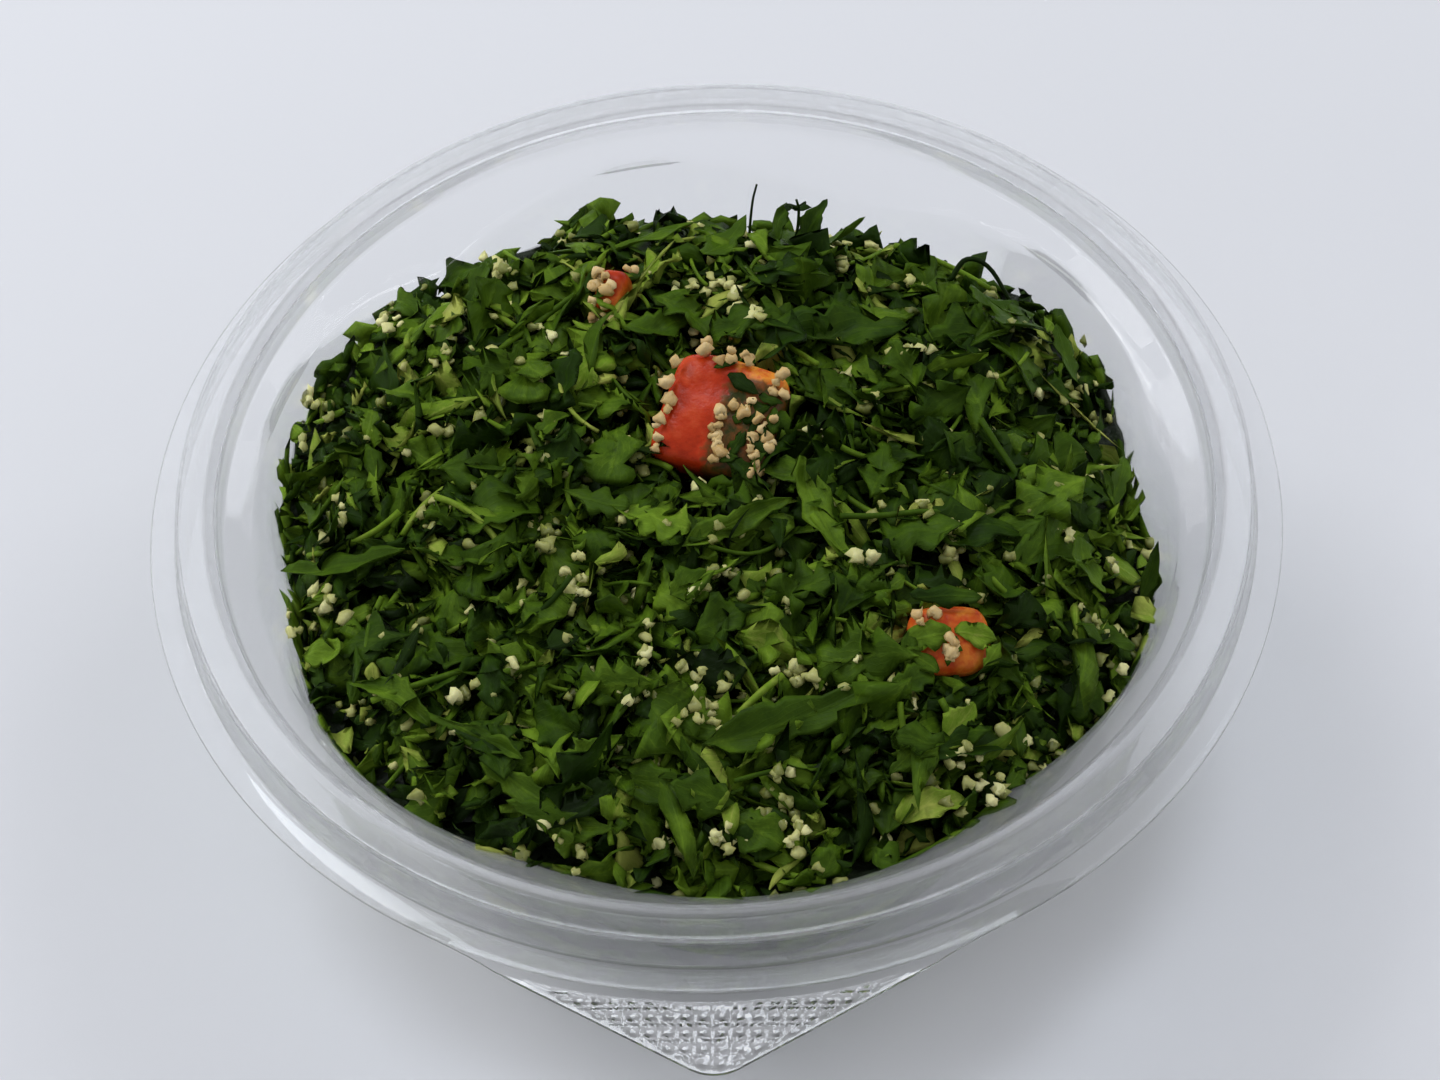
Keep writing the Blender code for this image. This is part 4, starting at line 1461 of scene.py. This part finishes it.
# centre and size in millimetres, turns about x, y and z in degrees
large = Chunk((1.0, 10.6, 39.0), (16.5, 16.5, 12.5), (20, 6, -16), power=6.0)
medium = Chunk((30.6, -24.3, 37.2), (11.0, 9.5, 9.0), (24, 4, 6), power=3.6)
small = Chunk((-14.2, 34.4, 37.4), (5.2, 7.6, 7.0), (22, -6, -14), power=3.0, narrow=0.7)
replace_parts(large.build("large_tomato", 61, skin=True, juice=True), "tomato_large")
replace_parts(medium.build("medium_tomato", 62, blush=0.42), "tomato_medium")
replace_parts(small.build("small_tomato", 63, blush=0.42), "tomato_small")

# %% What sticks to the tomatoes
# chunk, then shares of its half width and half depth: start, end, and how many grains
STUCK_GRAINS = [
    (large, (-0.92, 0.65), (-0.86, -0.95), 9), (large, (-0.75, 0.92), (0.25, 0.98), 7),
    (large, (0.05, 0.10), (0.02, -0.30), 4), (large, (-0.12, -0.35), (0.32, -0.80), 9),
    (large, (0.55, 0.95), (0.95, 0.45), 4), (large, (0.60, -0.20), (0.75, -0.85), 6),
    (large, (0.30, 0.45), (0.80, -0.30), 6), (large, (0.90, 0.20), (0.95, -0.90), 4),
    (medium, (-0.85, 0.60), (-0.30, 0.75), 4), (medium, (-0.10, 0.10), (0.10, -0.70), 5),
    (small, (-0.8, 0.9), (-0.6, -0.7), 7), (small, (-0.6, -1.1), (0.7, -1.2), 7),
    (small, (-0.2, 0.5), (0.1, -0.8), 5), (small, (0.9, 0.9), (1.2, 0.7), 2)]
# chunk, shares of half width and depth, length, width, azimuth and tone of each scrap
STUCK_LEAVES = [
    (large, 0.22, 0.55, 5.0, 2.6, -40, 0.18), (large, 0.48, 0.15, 5.5, 3.4, 20, 0.30),
    (large, 0.70, -0.25, 6.0, 3.0, -70, 0.24), (large, 0.42, -0.42, 4.6, 2.4, 60, 0.34),
    (large, 0.58, -0.78, 5.4, 2.8, -50, 0.30), (large, 0.86, 0.10, 4.0, 2.2, 85, 0.38),
    (large, 0.30, 0.05, 3.0, 1.6, 70, 0.42), (large, 0.72, 0.42, 3.4, 1.8, -15, 0.24),
    (large, 0.35, -0.70, 2.6, 1.6, 10, 0.40), (large, 0.80, -0.55, 3.0, 1.8, 40, 0.46),
    (large, -0.15, 0.80, 3.0, 1.4, 10, 0.30), (large, 0.90, -0.95, 4.0, 2.2, -30, 0.36),
    (medium, -0.55, 0.05, 6.5, 4.4, 15, 0.58), (medium, 0.60, 0.05, 5.5, 4.4, -10, 0.72),
    (medium, 0.05, -0.35, 4.0, 2.4, 80, 0.46), (medium, 0.0, 1.15, 9.0, 3.4, 2, 0.30),
    (medium, -0.70, -0.60, 5.0, 3.0, -35, 0.50), (medium, -1.05, -0.2, 5.0, 3.0, 80, 0.44),
    (medium, 0.95, -0.55, 4.0, 2.6, 60, 0.60), (small, -1.0, 0.2, 3.6, 2.0, 70, 0.30),
    (small, -0.3, -0.2, 2.4, 1.4, 30, 0.50)]


def stuck_grains(seed):
    """Grains along short lines over the tomatoes' upper faces."""
    rng = np.random.default_rng(seed)
    centres, normals = [], []
    for chunk, start, end, count in STUCK_GRAINS:
        t = (np.arange(count) + 0.5) / count + rng.normal(0, 0.04, count)
        share = np.array(start) + (np.array(end) - start) * t[:, None]
        share = share + rng.normal(0, 0.07, share.shape)
        centres.append(chunk.on_top(share[:, 0], share[:, 1], rng.uniform(0.0, 0.6, count) * MM))
        normals.append(np.tile(chunk.frame[:, 2], (count, 1)))
    centres, normals = np.concatenate(centres), np.concatenate(normals)
    n = len(centres)
    tones = random_tones(rng, 0.74, 0.12, n)
    sizes = rng.uniform(1.3, 2.3, n) * MM
    return grains_piece("stuck_grains", rng, centres, normals, sizes, tones, stain=0.6)


STUCK_GRID = (9, 5)


def stuck_leaves(seed):
    """Scraps of leaf that lie on the tomatoes."""
    rng = np.random.default_rng(seed)
    rows = [(chunk.on_top(sx, sy, 0.35 * MM), chunk.frame[:, 2], length * MM, width * MM,
             math.radians(azimuth), tone)
            for chunk, sx, sy, length, width, azimuth, tone in STUCK_LEAVES]
    centres, normals, length, width, azimuth, tone = (np.array(column) for column in zip(*rows))
    style = {**OPEN, "bend": (0.1, 0.5), "fold": (0.0, 0.2)}
    points, place = leaf_points(rng, centres, normals, azimuth, length, width,
                                STUCK_GRID, style)
    return leaves_piece("stuck_leaves", points, place, STUCK_GRID, tone)


stuck_grains(64)
stuck_leaves(65)

# %% [markdown]
# ## Light, floor and camera
# The bowl stands on a pale floor under a pale sky. Two soft lamps at the back
# corners and one above give most of the light. The two at the corners are
# not reflected, or they would leave white patches on the ledge. Two long thin
# lamps at the sides draw the bright lines along the rim, and two weak ones
# open up the front.

# %% Floor and lamps
FLOOR_SIZE = 4.0
FLOOR_COLOUR = (0.715, 0.725, 0.765)
SKY_COLOUR = (0.95, 0.965, 1.0, 1.0)
SKY_STRENGTH = 0.36
LAMP_AIM = Vector((0, 0, 0.02))
WHITE = (1, 1, 1)
COOL = (0.89, 0.94, 1.0)
# name, place and size in metres, watts, colour, and whether it is reflected
LAMPS = [
    ("back_left_lamp", (-0.72, 0.46, 0.56), (0.5, 0.3), 4.6, WHITE, False),
    ("back_right_lamp", (0.72, 0.46, 0.54), (0.5, 0.3), 2.2, WHITE, False),
    ("left_lamp", (-0.85, -0.02, 0.66), (0.9, 0.07), 1.2, WHITE, True),
    ("right_lamp", (0.85, -0.02, 0.62), (0.9, 0.06), 0.6, WHITE, True),
    ("top_lamp", (-0.15, 0.50, 1.2), (0.5, 0.3), 3.6, COOL, True),
    ("front_left_lamp", (-0.9, -0.7, 0.6), (0.6, 0.5), 0.25, WHITE, True),
    ("front_right_lamp", (0.9, -0.7, 0.6), (0.6, 0.5), 0.25, WHITE, True)]


def make_floor():
    """A plane under the bowl, pale and matt."""
    finish = Finish("floor")
    finish.surface(Base_Color=FLOOR_COLOUR, Roughness=0.8)
    bpy.ops.mesh.primitive_plane_add(size=FLOOR_SIZE)
    floor = bpy.context.object
    floor.data.materials.append(finish.material)


def make_lamp(name, place, size, power, colour, reflected):
    """A rectangular lamp that looks at the bowl, with or without a reflection."""
    data = bpy.data.lights.new(name, 'AREA')
    data.shape = 'RECTANGLE'
    data.size, data.size_y = size
    data.energy = power
    data.color = colour
    lamp = bpy.data.objects.new(name, data)
    lamp.location = place
    lamp.visible_glossy = reflected
    lamp.rotation_euler = (LAMP_AIM - Vector(place)).to_track_quat('-Z', 'Y').to_euler()
    bpy.context.scene.collection.objects.link(lamp)


def make_sky():
    """An even pale light from everywhere."""
    world = bpy.data.worlds.new("World")
    world.use_nodes = True
    sky = world.node_tree.nodes["Background"]
    sky.inputs["Color"].default_value = SKY_COLOUR
    sky.inputs["Strength"].default_value = SKY_STRENGTH
    bpy.context.scene.world = world


make_floor()
for lamp in LAMPS:
    make_lamp(*lamp)
make_sky()
bpy.context.scene.view_settings.view_transform = 'Standard'
print("lamps", len(LAMPS))

# %% Camera
CAMERA_ELEVATION = math.radians(52.88)
CAMERA_DISTANCE = 700 * MM
CAMERA_LENS = 131.75
CAMERA_SENSOR = 36.0
CAMERA_ROLL = math.radians(-3.395)
CAMERA_TURN = math.radians(3.7)
CAMERA_ASIDE = (0.696 * MM, -3.714 * MM)


def make_camera():
    """A long lens that looks down at the bowl from the front, rolled a little."""
    data = bpy.data.cameras.new("Camera")
    data.lens = CAMERA_LENS
    data.sensor_width = CAMERA_SENSOR
    camera = bpy.data.objects.new("Camera", data)
    away = Vector((0, -math.cos(CAMERA_ELEVATION), math.sin(CAMERA_ELEVATION)))
    right = Vector((1, 0, 0))
    up = right.cross(-away)
    across = right * math.cos(CAMERA_ROLL) + up * math.sin(CAMERA_ROLL)
    over = -right * math.sin(CAMERA_ROLL) + up * math.cos(CAMERA_ROLL)
    place = away * CAMERA_DISTANCE + across * CAMERA_ASIDE[0] + over * CAMERA_ASIDE[1]
    facing = Matrix((across, over, away)).transposed().to_4x4()
    turned = Matrix.Rotation(CAMERA_TURN, 4, 'Z')
    lifted = Matrix.Translation((0, 0, FLANGE))
    camera.matrix_world = lifted @ turned @ Matrix.Translation(place) @ facing
    bpy.context.scene.collection.objects.link(camera)
    bpy.context.scene.camera = camera
    print("camera at", [round(v, 3) for v in camera.matrix_world.translation])


make_camera()
